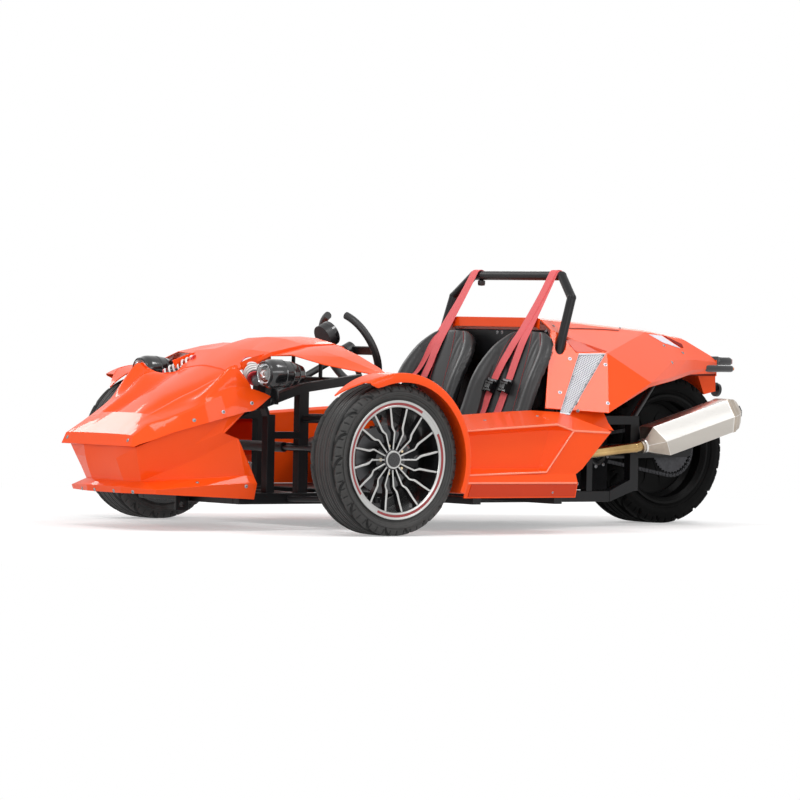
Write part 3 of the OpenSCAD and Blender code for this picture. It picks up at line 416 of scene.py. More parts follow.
def sharp_edges(bm, degrees):
    limit = math.radians(degrees)
    return [e for e in bm.edges if len(e.link_faces) == 2 and e.calc_face_angle(0) > limit]


def grid_faces(bm, grid):
    """Faces between rows of points."""
    return [bm.faces.new((one[j], one[j + 1], two[j + 1], two[j]))
            for one, two in zip(grid[:-1], grid[1:]) for j in range(len(one) - 1)]


def edge_of(grid):
    """The points round the edge of a grid, in turn."""
    return [row[0] for row in grid] + grid[-1][1:] + [row[-1] for row in grid[-2::-1]] + grid[0][-2:0:-1]


def join_rings(bm, rings, ends=True):
    """Faces between closed rings of points, and over both ends."""
    made = []
    for one, two in zip(rings[:-1], rings[1:]):
        for k in range(len(one)):
            m = (k + 1) % len(one)
            made.append(bm.faces.new((one[k], one[m], two[m], two[k])))
    if ends:
        made += [bm.faces.new(rings[0]), bm.faces.new(rings[-1])]
    return made


def place_mesh(name, bm, mat, body, replaces=(), sharp_deg=35):
    """Makes a finished piece of a bmesh, with creases sharper than sharp_deg left sharp."""
    bm.normal_update()
    for face in bm.faces:
        face.smooth = True
    sharp = set(sharp_edges(bm, sharp_deg))
    for edge in bm.edges:
        edge.smooth = edge not in sharp
    return place_data(name, mesh_of(name, bm), mat, body, replaces)


def place_data(name, mesh, mat, body, replaces=()):
    for one in mat if isinstance(mat, (list, tuple)) else [mat]:
        mesh.materials.append(one)
    return place_grown(name, mesh, body, replaces)


def merged_copy(node):
    """A node's triangles as one closed bmesh with flat faces joined."""
    bm = bmesh.new()
    bm.from_mesh(nodes[node].data)
    bmesh.ops.remove_doubles(bm, verts=bm.verts, dist=1e-5)
    bmesh.ops.dissolve_limit(bm, angle_limit=math.radians(0.6), verts=bm.verts, edges=bm.edges)
    return bm


def soften(node, mat, body="chassis", width=0.002, angle_deg=24):
    """A node with its hard edges rounded, standing in for it."""
    bm = merged_copy(node)
    bmesh.ops.bevel(bm, geom=sharp_edges(bm, angle_deg), offset=width, offset_type="OFFSET",
                    segments=BEVEL_SEGMENTS, profile=0.5, affect="EDGES", clamp_overlap=True)
    bmesh.ops.triangulate(bm, faces=[f for f in bm.faces if len(f.verts) > 4])
    piece = place_mesh(node + "_finished", bm, mat, body, [node], SOFTENED_SHARP)
    even = piece.modifiers.new("even_normals", "WEIGHTED_NORMAL")
    even.keep_sharp = True
    return piece


def add_sheet(bm, grid, thick, toward):
    """A sheet through rows of points, with its thickness on the side away from a point."""
    top = [[bm.verts.new(p) for p in line] for line in grid]
    made = grid_faces(bm, top)
    bm.normal_update()
    sign = 1 if sum(f.normal.dot(toward - f.calc_center_median()) for f in made) > 0 else -1
    low = [[bm.verts.new(v.co - v.normal * (sign * thick)) for v in line] for line in top]
    made += grid_faces(bm, low) + join_rings(bm, [edge_of(top), edge_of(low)], ends=False)
    bmesh.ops.recalc_face_normals(bm, faces=made)


def paint_node(node, mat):
    data = nodes[node].data
    data.materials.clear()
    data.materials.append(mat)


# Geometry Nodes helpers: each tree is run once and its result kept as a plain mesh
def new_tree(name, *inputs):
    """A tree with a geometry in and out, and named inputs given as (label, socket kind, value)."""
    tree = bpy.data.node_groups.new(name, "GeometryNodeTree")
    tree.interface.new_socket("Geometry", in_out="INPUT", socket_type="NodeSocketGeometry")
    for label, kind, value in inputs:
        socket = tree.interface.new_socket(label, in_out="INPUT", socket_type=kind)
        socket.default_value = value
    tree.interface.new_socket("Geometry", in_out="OUTPUT", socket_type="NodeSocketGeometry")
    start = tree.nodes.new("NodeGroupInput")
    end = tree.nodes.new("NodeGroupOutput")
    return tree, start, end


def close_tree(tree, end, geometry, *finishes):
    """Realizes the instances and sets each (material, selection socket or None)."""
    real = tree_node(tree, "GeometryNodeRealizeInstances")
    wire(tree, (geometry, real.inputs[0]))
    last = real.outputs[0]
    for mat, chosen in finishes:
        node = tree_node(tree, "GeometryNodeSetMaterial", Material=mat)
        wire(tree, (last, node.inputs["Geometry"]))
        if chosen is not None:
            wire(tree, (chosen, node.inputs["Selection"]))
        last = node.outputs[0]
    wire(tree, (last, end.inputs[0]))


def run_tree(name, base, tree, **values):
    """The mesh that a tree makes of a base mesh."""
    holder = new_object(name + "_base", base)
    modifier = holder.modifiers.new("grow", "NODES")
    modifier.node_group = tree
    for item in tree.interface.items_tree:
        if item.in_out == "INPUT" and item.name in values:
            modifier[item.identifier] = values[item.name]
    mesh = evaluated_mesh(holder)
    mesh.name = name
    bpy.data.objects.remove(holder)
    return mesh


def place_grown(name, mesh, body, replaces=()):
    piece = new_object(name, mesh)
    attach(piece, body)
    if replaces:
        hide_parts(*replaces)
    return piece


def points_mesh(name, spots):
    """Points with the direction that each one faces."""
    mesh = bpy.data.meshes.new(name)
    mesh.from_pydata([p for p, _ in spots], [], [])
    way = mesh.attributes.new("way", "FLOAT_VECTOR", "POINT")
    way.data.foreach_set("vector", np.array([list(n) for _, n in spots], np.float32).ravel())
    return mesh


def button_screw_tree():
    tree, start, end = new_tree("button_screws", ("Head radius", "NodeSocketFloat", 0.0062))
    dome = tree_node(tree, "GeometryNodeMeshUVSphere", Segments=14, Rings=8, Radius=1.0)
    flat = tree_node(tree, "GeometryNodeTransform", Scale=(1, 1, 0.55))
    washer = tree_node(tree, "GeometryNodeMeshCylinder", Vertices=16, Radius=1.22, Depth=0.24)
    socket = tree_node(tree, "GeometryNodeMeshCylinder", Vertices=6, Radius=0.36, Depth=0.2)
    lift = tree_node(tree, "GeometryNodeTransform", Translation=(0, 0, 0.47))
    mark = tree_node(tree, "GeometryNodeStoreNamedAttribute", data_type="BOOLEAN", domain="FACE",
                     Name="recess", Value=True)
    parts = tree_node(tree, "GeometryNodeJoinGeometry")
    spread = tree_node(tree, "GeometryNodeInstanceOnPoints")
    way = tree_node(tree, "GeometryNodeInputNamedAttribute", data_type="FLOAT_VECTOR", Name="way")
    turn = tree_node(tree, "FunctionNodeAlignRotationToVector", axis="Z")
    recess = tree_node(tree, "GeometryNodeInputNamedAttribute", data_type="BOOLEAN", Name="recess")
    wire(tree, (dome.outputs[0], flat.inputs[0]), (socket.outputs[0], lift.inputs[0]),
         (lift.outputs[0], mark.inputs[0]), (flat.outputs[0], parts.inputs[0]),
         (washer.outputs[0], parts.inputs[0]), (mark.outputs[0], parts.inputs[0]),
         (start.outputs[0], spread.inputs["Points"]), (parts.outputs[0], spread.inputs["Instance"]),
         (way.outputs[0], turn.inputs["Vector"]), (turn.outputs[0], spread.inputs["Rotation"]),
         (start.outputs["Head radius"], spread.inputs["Scale"]))
    close_tree(tree, end, spread.outputs[0], (bolt_steel, None), (satin_black, recess.outputs[0]))
    return tree


def stitch_tree():
    tree, start, end = new_tree("stitches", ("Pitch", "NodeSocketFloat", 0.006),
                                ("Thread", "NodeSocketFloat", 0.0009))
    curve = tree_node(tree, "GeometryNodeMeshToCurve")
    even = tree_node(tree, "GeometryNodeResampleCurve", mode="LENGTH")
    thread = tree_node(tree, "GeometryNodeMeshCylinder", Vertices=6, Radius=1.0, Depth=4.6)
    spread = tree_node(tree, "GeometryNodeInstanceOnPoints")
    tangent = tree_node(tree, "GeometryNodeInputTangent")
    turn = tree_node(tree, "FunctionNodeAlignRotationToVector", axis="Z")
    wire(tree, (start.outputs[0], curve.inputs[0]), (curve.outputs[0], even.inputs[0]),
         (start.outputs["Pitch"], even.inputs["Length"]), (even.outputs[0], spread.inputs["Points"]),
         (thread.outputs[0], spread.inputs["Instance"]), (tangent.outputs[0], turn.inputs["Vector"]),
         (turn.outputs[0], spread.inputs["Rotation"]), (start.outputs["Thread"], spread.inputs["Scale"]))
    close_tree(tree, end, spread.outputs[0], (red_thread, None))
    return tree


def around_tree(mats):
    """Copies of the base mesh turned about the Y axis; faces marked bright get the second material."""
    tree, start, end = new_tree("around_axle", ("Count", "NodeSocketInt", 16),
                                ("Middle", "NodeSocketVector", (0, 0, 0)))
    spots = tree_node(tree, "GeometryNodePoints")
    spread = tree_node(tree, "GeometryNodeInstanceOnPoints")
    index = tree_node(tree, "GeometryNodeInputIndex")
    share = tree_node(tree, "ShaderNodeMath", operation="DIVIDE")
    angle = tree_node(tree, "ShaderNodeMath", operation="MULTIPLY")
    angle.inputs[1].default_value = 2 * math.pi
    turn = tree_node(tree, "ShaderNodeCombineXYZ")
    euler = tree_node(tree, "FunctionNodeEulerToRotation")
    bright = tree_node(tree, "GeometryNodeInputNamedAttribute", data_type="BOOLEAN", Name="bright")
    wire(tree, (start.outputs["Count"], spots.inputs["Count"]),
         (start.outputs["Middle"], spots.inputs["Position"]), (spots.outputs[0], spread.inputs["Points"]),
         (start.outputs[0], spread.inputs["Instance"]), (index.outputs[0], share.inputs[0]),
         (start.outputs["Count"], share.inputs[1]), (share.outputs[0], angle.inputs[0]),
         (angle.outputs[0], turn.inputs["Y"]), (turn.outputs[0], euler.inputs[0]),
         (euler.outputs[0], spread.inputs["Rotation"]))
    finishes = [(mats[0], None)] + ([(mats[1], bright.outputs[0])] if len(mats) > 1 else [])
    close_tree(tree, end, spread.outputs[0], *finishes)
    return tree


def perforation_tree(mat):
    tree, start, end = new_tree("perforations", ("Hole share", "NodeSocketFloat", 0.66))
    inset = tree_node(tree, "GeometryNodeExtrudeMesh", mode="FACES", Individual=True)
    inset.inputs["Offset Scale"].default_value = 0.0
    shrink = tree_node(tree, "GeometryNodeScaleElements", domain="FACE")
    cut = tree_node(tree, "GeometryNodeDeleteGeometry", domain="FACE")
    wire(tree, (start.outputs[0], inset.inputs["Mesh"]), (inset.outputs["Mesh"], shrink.inputs["Geometry"]),
         (inset.outputs["Top"], shrink.inputs["Selection"]),
         (start.outputs["Hole share"], shrink.inputs["Scale"]), (shrink.outputs[0], cut.inputs["Geometry"]),
         (inset.outputs["Top"], cut.inputs["Selection"]))
    close_tree(tree, end, cut.outputs[0], (mat, None))
    return tree


# Tyres: a revolved section with tread cut into it
BEAD_R = 0.2164
TREAD_FLAT = 0.030
SHOULDER_R = 0.026
GROOVE_PLACES = (0.017, 0.050)
GROOVE_HALF = 0.0052
GROOVE_DEPTH = 0.0095
FINE_PLACES = (0.0, 0.0335)
FINE_HALF = 0.0018
FINE_DEPTH = 0.0048
HOOKS = 18
STEPS_PER_HOOK = 40
HOOK_LENGTH = 0.215
HOOK_HALF = 0.0062
HOOK_DEPTH = 0.0085
HOOK_FROM, HOOK_TO = 0.006, 0.004
SLIT_SHARES = (0.16, 0.50, 0.83)
SLIT_HALF = 0.0036
SLIT_DEPTH = 0.0050
SLIT_LENGTH = 0.030
CUT_EDGE = 0.0012
CROWN = 0.0012
# depth at which the painted shade in the tread's cuts is darkest
CUT_FULL_SHADE = 0.004
CUTS = ([(place, GROOVE_HALF, GROOVE_DEPTH) for place in GROOVE_PLACES]
        + [(place, FINE_HALF, FINE_DEPTH) for place in FINE_PLACES])
WALL_INSETS = ((0.268, 0.0), (0.2535, 0.0035), (0.2500, 0.0095), (0.2440, 0.0115), (0.2365, 0.016),
               (BEAD_R, 0.016))
WALL_MARK = 9.0


def curve_through(points, count):
    """Catmull-Rom points through the given ones."""
    p = np.array(points, float)
    p = np.vstack([2 * p[0] - p[1], p, 2 * p[-1] - p[-2]])
    out = []
    for i in range(1, len(p) - 2):
        for t in np.linspace(0, 1, count, endpoint=False):
            a, b, c, d = p[i - 1], p[i], p[i + 1], p[i + 2]
            bend = (2 * a - 5 * b + 4 * c - d) * t ** 2 + (3 * b - a - 3 * c + d) * t ** 3
            out.append(0.5 * (2 * b + (c - a) * t + bend))
    out.append(p[-2])
    return np.array(out)


def half_section(radius, width):
    """Radius, side and tread place of points from the tyre's middle to its bead."""
    half = width / 2
    flat = half - TREAD_FLAT
    stops = {0.0, flat, *np.arange(0.0625, flat, 0.0028)}
    for place, cut, _ in CUTS:
        stops.update(abs(place + step) for step in (-cut - CUT_EDGE, -cut, 0, cut, cut + CUT_EDGE))
    side = np.array(sorted(v for v in stops if v <= flat + 1e-9))
    rows = [(radius - CROWN * (v / flat) ** 2, v, v) for v in side]
    for a in np.linspace(math.pi / 2, 0, 13)[1:]:
        rows.append((radius - CROWN - SHOULDER_R + SHOULDER_R * math.sin(a),
                     half - SHOULDER_R - 0.004 + SHOULDER_R * math.cos(a),
                     flat + SHOULDER_R * (math.pi / 2 - a)))
    stops = [rows[-1][:2], (radius - 0.040, half - 0.0005)]
    stops += [(r, half - inset) for r, inset in WALL_INSETS]
    rows += [(r, y, WALL_MARK) for r, y in curve_through(stops, 3)[1:]]
    return np.array(rows)


def smooth_step(v):
    v = np.clip(v, 0, 1)
    return v * v * (3 - 2 * v)


def tread_depth(place, radius):
    """How deep the tread is cut, over one hook's share of the turn."""
    pitch = 2 * math.pi * radius / HOOKS
    along = np.arange(STEPS_PER_HOOK) * pitch / STEPS_PER_HOOK
    a, s = np.meshgrid(along, place, indexing="ij")
    depth = np.zeros_like(a)
    for middle, half, deep in CUTS:
        depth = np.maximum(depth, deep * smooth_step((half + CUT_EDGE - abs(s - middle)) / CUT_EDGE))
    edge = place[place < WALL_MARK].max()
    t = np.linspace(0, 1, 90)
    hook_a = HOOK_LENGTH * t
    first = GROOVE_PLACES[1] + HOOK_FROM
    hook_s = first + (edge - HOOK_TO - first) * (0.30 * t + 0.70 * t ** 9)
    for k in range(-3, 2):
        gap = np.hypot(a[..., None] - hook_a - k * pitch, s[..., None] - hook_s).min(-1)
        depth = np.maximum(depth, HOOK_DEPTH * smooth_step((HOOK_HALF - gap) / 0.0022))
    for share in SLIT_SHARES:
        near = smooth_step((SLIT_HALF - abs(a - share * pitch - 0.10 * (s - edge))) / 0.0018)
        span = smooth_step((s - edge + SLIT_LENGTH) / 0.004) * smooth_step((edge - 0.003 - s) / 0.004)
        depth = np.maximum(depth, SLIT_DEPTH * near * span)
    depth[:, place == WALL_MARK] = 0
    return depth


def add_tyre(node, body, middle, radius, width, outward):
    half = half_section(radius, width)
    depth = tread_depth(half[:, 2], radius)
    section = np.vstack([half[::-1], half[1:] * (1, -1, 1)])
    cut = np.hstack([depth[:, ::-1], depth[:, 1:]])
    run = np.gradient(section[:, :2], axis=0)
    normal = np.stack([-run[:, 1], run[:, 0]], 1)
    normal /= np.linalg.norm(normal, axis=1)[:, None]
    if normal[len(normal) // 2, 0] < 0:
        normal = -normal
    count = HOOKS * STEPS_PER_HOOK
    cut = np.tile(cut, (HOOKS, 1))
    r = section[None, :, 0] - cut * normal[None, :, 0]
    y = section[None, :, 1] - cut * normal[None, :, 1]
    angle = np.arange(count) * 2 * math.pi / count
    across, up = r * np.cos(angle)[:, None], r * np.sin(angle)[:, None]
    points = np.stack([middle[0] + across, middle[1] + outward * y, middle[2] + up], -1)
    columns = section.shape[0]
    i, j = np.meshgrid(np.arange(count), np.arange(columns), indexing="ij")
    n = (i + 1) % count
    m = (j + 1) % columns
    quads = np.stack([i * columns + j, i * columns + m, n * columns + m, n * columns + j], -1)
    quads = quads.reshape(-1, 4)
    if outward > 0:
        quads = quads[:, ::-1]
    mesh = bpy.data.meshes.new(node + "_treaded")
    mesh.from_pydata(points.reshape(-1, 3).tolist(), [], quads.tolist())
    mesh.shade_smooth()
    # painted shade in the tread's cuts, darker by their depth
    dark = mesh.attributes.new("tread_cut_shade", "FLOAT", "POINT")
    dark.data.foreach_set("value", np.clip(cut / CUT_FULL_SHADE, 0, 1).astype(np.float32).ravel())
    # the rear tyre gets the darker rubber: painted shade
    mat = rear_rubber_painted_shade if body == "wheel_rear" else rubber
    return place_data(node + "_treaded", mesh, mat, body, [node])


# Front rims: a spun lip and barrel, kinked spokes, hub cap and nuts
LIP_PROFILE = ((0.2330, 0.0845, 0), (0.2330, 0.0925, 0), (0.2310, 0.0932, 0), (0.2240, 0.0918, 1),
               (0.2235, 0.0906, 1), (0.2140, 0.0900, 0), (0.2130, 0.0908, 0), (0.2065, 0.0885, 0),
               (0.2050, 0.0860, 2), (0.2030, 0.0600, 2), (0.1990, 0.0100, 2), (0.1980, -0.0400, 2),
               (0.2040, -0.0800, 2), (0.2080, -0.0920, 2), (0.2330, -0.0924, 2), (0.2330, -0.0845, 2),
               (0.2140, -0.0830, 2), (0.2060, 0.0000, 2), (0.2140, 0.0830, 0))
SPOKE_STATIONS = ((0.034, 0.0, 0.0032, 0.0610), (0.070, 0.0, 0.0032, 0.0650), (0.106, 0.0, 0.0036, 0.0700),
                  (0.114, -2.2, 0.0046, 0.0715), (0.124, -5.6, 0.0050, 0.0730),
                  (0.136, -6.8, 0.0046, 0.0745), (0.170, -7.9, 0.0043, 0.0785),
                  (0.2045, -9.0, 0.0040, 0.0835))
SPOKE_COUNT = 16
SPOKE_CHAMFER = 0.0010
SPOKE_SPREAD = 1.5
HUB_PROFILE = ((0.0, 0.0705), (0.0285, 0.0695), (0.0290, 0.0675), (0.0345, 0.0680), (0.0365, 0.0660),
               (0.0420, 0.0600), (0.0440, 0.0520), (0.0440, -0.0090), (0.0180, -0.0095))
NUT_PROFILE = ((0.0, 0.0600), (0.0055, 0.0595), (0.0075, 0.0575), (0.0080, 0.0400))
FLANGE_PROFILE = ((0.165, -0.040), (0.199, -0.040), (0.199, -0.046), (0.165, -0.046))
NUT_RING_PROFILE = ((0.0430, 0.0500), (0.0700, 0.0440), (0.0720, 0.0380), (0.0430, 0.0340))
NUT_CIRCLE = 0.0560
PLAIN_ARCS = ((122, 152), (295, 322))


def spin(profile, count, middle, outward, closed=True):
    """A lathe bmesh about the Y axis through middle; profile is (radius, distance outboard)."""
    bm = bmesh.new()
    rings = []
    for k in range(count):
        a = 2 * math.pi * k / count
        x, z = math.cos(a), math.sin(a)
        rings.append([bm.verts.new((middle[0] + p[0] * x, middle[1] + outward * p[1], middle[2] + p[0] * z))
                      for p in profile])
    last = len(profile) if closed else len(profile) - 1
    for k in range(count):
        one, two = rings[k], rings[(k + 1) % count]
        for j in range(last):
            m = (j + 1) % len(profile)
            quad = (one[j], one[m], two[m], two[j])
            face = bm.faces.new(quad if outward < 0 else quad[::-1])
            face.material_index = profile[j][2] if len(profile[j]) > 2 else 0
    return bm


def spoke_mesh(outward):
    bm = bmesh.new()
    bright = bm.faces.layers.bool.new("bright")
    rows = []
    for r, turn, half, face in SPOKE_STATIONS:
        back = face - 0.016 - 0.06 * (r - SPOKE_STATIONS[0][0])
        section = ((-half, face - SPOKE_CHAMFER), (-half + SPOKE_CHAMFER, face),
                   (half - SPOKE_CHAMFER, face),
                   (half, face - SPOKE_CHAMFER), (half * SPOKE_SPREAD, back), (-half * SPOKE_SPREAD, back))
        row = []
        for side, out in section:
            b = math.radians(turn) + side / r
            row.append(bm.verts.new((r * math.cos(b), outward * out, r * math.sin(b))))
        rows.append(row)
    for k, face in enumerate(join_rings(bm, rows, ends=False)):
        face[bright] = k % len(rows[0]) < 3
    bm.faces.new(rows[0])
    bm.faces.new(rows[-1])
    bmesh.ops.recalc_face_normals(bm, faces=bm.faces)
    return mesh_of("one_spoke", bm)


def add_front_rim(side, outward):
    body = "wheel_front_" + side
    node = "rim_front_" + side
    middle = Vector((FRONT_AXLE_X, outward * HALF_TRACK, FRONT_R))
    bm = spin(LIP_PROFILE, 144, middle, outward)
    for face in bm.faces:
        if face.material_index == 1:
            c = face.calc_center_median() - middle
            turn = math.degrees(math.atan2(c.z, c.x)) % 360
            if any(low < turn < high for low, high in PLAIN_ARCS):
                face.material_index = 0
    place_mesh(node + "_barrel", bm, [machined, rim_red, rim_black], body, [node], 25)
    spokes = run_tree(node + "_spokes", spoke_mesh(outward), around_tree((rim_black, machined)),
                      Count=SPOKE_COUNT, Middle=middle)
    place_grown(node + "_spokes", spokes, body)
    rows = [(r, t, 1 if 0.0289 < r < 0.0365 else 0) for r, t in HUB_PROFILE]
    bm = spin(rows, 72, middle, outward, closed=False)
    bmesh.ops.remove_doubles(bm, verts=bm.verts, dist=1e-6)
    place_mesh(node + "_hub", bm, [rim_black, machined], body, (), 25)
    nut = mesh_of("one_nut", spin(NUT_PROFILE, 6, (NUT_CIRCLE, 0, 0), outward, closed=False))
    nuts = run_tree(node + "_nuts", nut, around_tree((brass_nut,)), Count=5, Middle=middle)
    place_grown(node + "_nuts", nuts, body)
    for label, profile, count in (("_flange", FLANGE_PROFILE, 96), ("_nut_ring", NUT_RING_PROFILE, 72)):
        ring = spin(profile, count, middle, outward)
        place_mesh(node + label, ring, rim_black, body, (), 25)


# Seats: a lofted shell, its padding inflated as cloth, stitched in red
SEAT_ROWS = ((-0.505, 0.300, 0.215, 0.010), (-0.520, 0.318, 0.225, 0.022), (-0.600, 0.320, 0.232, 0.045),
             (-0.760, 0.320, 0.235, 0.062), (-0.880, 0.320, 0.235, 0.070), (-0.975, 0.360, 0.232, 0.078),
             (-1.025, 0.460, 0.230, 0.082), (-1.072, 0.600, 0.228, 0.072), (-1.112, 0.720, 0.205, 0.040),
             (-1.136, 0.790, 0.150, 0.014), (-1.146, 0.812, 0.110, 0.004))
SEAT_THICK = 0.030
SEAT_COLUMNS = 45
STITCH_SHARES = (-0.60, -0.22, 0.22, 0.60)
SEAT_BACK_SHARE = 0.97
BOLSTER_FROM, BOLSTER_SPAN = 0.50, 0.36
ROLL_FROM, ROLL_DROP = 0.86, 0.022
SEAT_CROWN = 0.006
CLOTH_VOXEL = 0.006
CLOTH_FRAMES = 20
SEAM_HOLD = 0.0085
PUFF_MOST = 0.011
CLOTH = {"quality": 4, "mass": 0.3, "tension_stiffness": 12, "compression_stiffness": 12,
         "bending_stiffness": 0.4, "use_pressure": True, "uniform_pressure_force": 4.0,
         "vertex_group_mass": "held"}


def seat_frames():
    """Place, facing direction, half width and bolster height of each row up the seat."""
    rows = curve_through(SEAT_ROWS, 6)
    run = np.gradient(rows[:, :2], axis=0)
    run /= np.linalg.norm(run, axis=1)[:, None]
    faces = [Vector((d[1], 0, -d[0])) * (1 if d[1] - d[0] > 0 else -1) for d in run]
    return [(Vector((r[0], 0, r[1])), face, r[2], r[3]) for r, face in zip(rows, faces)]


def seat_point(row, share, sink=0.0):
    """A point of the padding at a share of the half width."""
    place, face, half, bolster = row
    a = abs(share)
    lift = bolster * float(smooth_step(np.array((a - BOLSTER_FROM) / BOLSTER_SPAN)))
    if a > ROLL_FROM:
        lift -= ROLL_DROP * (1 - math.sqrt(max(0.0, 1 - ((a - ROLL_FROM) / (1 - ROLL_FROM)) ** 2)))
    if a < BOLSTER_FROM:
        lift += SEAT_CROWN * (1 - (share / BOLSTER_FROM) ** 2)
    return place + face * (lift - sink) + Vector((0, share * half, 0))


def seat_shell():
    bm = bmesh.new()
    rows = seat_frames()
    shares = np.linspace(-1, 1, SEAT_COLUMNS)
    front = [[bm.verts.new(seat_point(row, s)) for s in shares] for row in rows]
    narrow = shares * SEAT_BACK_SHARE
    back = [[bm.verts.new(seat_point(row, s, SEAT_THICK)) for s in narrow] for row in rows]
    grid_faces(bm, front)
    grid_faces(bm, back)
    join_rings(bm, [edge_of(front), edge_of(back)], ends=False)
    bmesh.ops.recalc_face_normals(bm, faces=bm.faces)
    return mesh_of("seat_shell", bm)


def seat_lines():
    """The places of the stitch lines on the unpadded surface, each with its facing direction."""
    rows = seat_frames()
    return [[(seat_point(row, share), row[1]) for row in rows[8:-4]] for share in STITCH_SHARES]


def inflate(mesh):
    """The mesh after its skin is blown up a little between held seams."""
    holder = new_object("seat_cloth", mesh)
    even = holder.modifiers.new("even", "REMESH")
    even.mode = "VOXEL"
    even.voxel_size = CLOTH_VOXEL
    start = evaluated_mesh(holder)
    holder.modifiers.remove(even)
    holder.data = start
    before = np.empty(len(start.vertices) * 3)
    start.vertices.foreach_get("co", before)
    before = before.reshape(-1, 3)
    held = set()
    seams = np.array([list(p) for line in seat_lines() for p, _ in line])
    for low in range(0, len(before), 4000):
        gap = np.linalg.norm(before[low:low + 4000, None] - seams[None], axis=2).min(1)
        held.update((low + np.nonzero(gap < SEAM_HOLD)[0]).tolist())
    group = holder.vertex_groups.new(name="held")
    group.add(sorted(held), 1.0, "REPLACE")
    cloth = holder.modifiers.new("inflate", "CLOTH")
    for key, value in CLOTH.items():
        setattr(cloth.settings, key, value)
    cloth.settings.effector_weights.gravity = 0
    cloth.point_cache.frame_start = 1
    cloth.point_cache.frame_end = CLOTH_FRAMES
    for k in range(1, CLOTH_FRAMES + 1):
        scene.frame_set(k)
    blown = evaluated_mesh(holder)
    after = np.empty(len(blown.vertices) * 3)
    blown.vertices.foreach_get("co", after)
    move = after.reshape(-1, 3) - before
    size = np.linalg.norm(move, axis=1)[:, None]
    move *= np.minimum(1, PUFF_MOST / np.maximum(size, 1e-9))
    holder.modifiers.remove(cloth)
    scene.frame_set(1)
    start.vertices.foreach_set("co", (before + move).ravel())
    finer = holder.modifiers.new("finer", "SUBSURF")
    finer.levels = finer.render_levels = 1
    result = evaluated_mesh(holder)
    bpy.data.objects.remove(holder)
    result.shade_smooth()
    return result


def moved_mesh(mesh, side, name):
    """A copy of a mesh put beside the centre line and in the part's frame."""
    copy = mesh.copy()
    copy.name = name
    copy.transform(Matrix.Translation(at(0, side * SEAT_Y, 0)))
    copy.update()
    return copy


def tree_of(mesh):
    bm = bmesh.new()
    bm.from_mesh(mesh)
    tree = BVHTree.FromBMesh(bm)
    bm.free()
    return tree


def add_seats():
    skin = inflate(seat_shell())
    trees = {}
    thread = stitch_tree()
    for side, label in ((1, "left"), (-1, "right")):
        mesh = moved_mesh(skin, side, "seat_" + label + "_padded")
        trees[side] = tree_of(mesh)
        piece = place_data("seat_" + label + "_padded", mesh, seat_vinyl, "chassis",
                           ["seat_" + label])
        points, edges = [], []
        for line in seat_lines():
            first = len(points)
            for p, face in line:
                where = Vector((p.x + FRONT_AXLE_X, p.y + side * SEAT_Y, p.z))
                hit = trees[side].ray_cast(where + face * 0.06, -face, 0.15)[0]
                if hit is not None:
                    points.append(hit + face * 0.0006)
            edges += [(k, k + 1) for k in range(first, len(points) - 1)]
        base = bpy.data.meshes.new("stitch_lines")
        base.from_pydata(points, edges, [])
        stitches = "seat_" + label + "_stitches"
        place_grown(stitches, run_tree(stitches, base, thread), "chassis")
    return trees


# Harness: flat webbing over the hoop bar and down each seat back, with box buckles
HOOP_BAR = (-1.2827, 1.041)
STRAP_HALF = 0.023
STRAP_THICK = 0.0022
STRAP_ACROSS = (-1.0, -0.9, -0.45, 0, 0.45, 0.9, 1.0)
BAR_REACH = 0.0199
BAR_STEPS = 16
STRAP_SIDES = {
    "left_inner": (1, 0.0030,
                   ((1.041, 0.262), (0.950, 0.252), (0.800, 0.218), (0.700, 0.176), (0.600, 0.148),
                    (0.430, 0.122))),
    "left_outer": (1, 0.0, ((1.041, 0.270), (0.950, 0.268), (0.800, 0.260), (0.700, 0.247), (0.600, 0.236),
                            (0.430, 0.214))),
    "right_outer": (-1, 0.0, ((1.041, -0.275), (0.950, -0.290), (0.800, -0.335), (0.700, -0.378),
                              (0.600, -0.408), (0.430, -0.430))),
    "right_inner": (-1, 0.0030,
                    ((1.041, -0.268), (0.950, -0.278), (0.800, -0.300), (0.700, -0.322), (0.600, -0.340),
                     (0.430, -0.352)))}
BUCKLE_Z = 0.572


def strap_path(lift, table, tree):
    """Middle points of a strap with the direction its face looks in."""
    heights = [z for z, _ in table][::-1]
    sides = [y for _, y in table][::-1]

    def y_at(z):
        return float(np.interp(z, heights, sides))

    radius = BAR_REACH + STRAP_THICK / 2 + lift
    path = []
    for a in np.linspace(math.radians(205), math.radians(22), BAR_STEPS):
        face = Vector((math.cos(a), 0, math.sin(a)))
        path.append((at(HOOP_BAR[0], y_at(HOOP_BAR[1]), HOOP_BAR[1]) + face * radius, face))
    down = []
    for z in np.linspace(0.765, 0.455, 40):
        hit = tree.ray_cast(at(-0.60, y_at(z), z), Vector((-1, 0, 0)), 1.0)[0]
        if hit is not None:
            down.append((hit + Vector((0.0045 + lift, 0, 0.001)), Vector((0.94, 0, 0.34))))
    top = path[-1][0]
    first = down[0][0]
    for t in np.linspace(0.08, 0.94, 12):
        p = top.lerp(first, t)
        p.y = y_at(p.z)
        path.append((p, Vector((0.86, 0, 0.5))))
    path += down
    points = np.array([list(p) for p, _ in path])
    for _ in range(3):
        points[BAR_STEPS:-1] = (points[BAR_STEPS - 1:-2] + 2 * points[BAR_STEPS:-1]
                                + points[BAR_STEPS + 1:]) / 4
    return [(Vector(p), face) for p, (_, face) in zip(points.tolist(), path)]


def strap_axes(path, k):
    """Directions across, along and out of a strap at one of its points."""
    face = path[k][1]
    run = (path[min(k + 1, len(path) - 1)][0] - path[max(k - 1, 0)][0]).normalized()
    wide = run.cross(face).normalized()
    out = wide.cross(run).normalized()
    return wide, run, -out if out.dot(face) < 0 else out


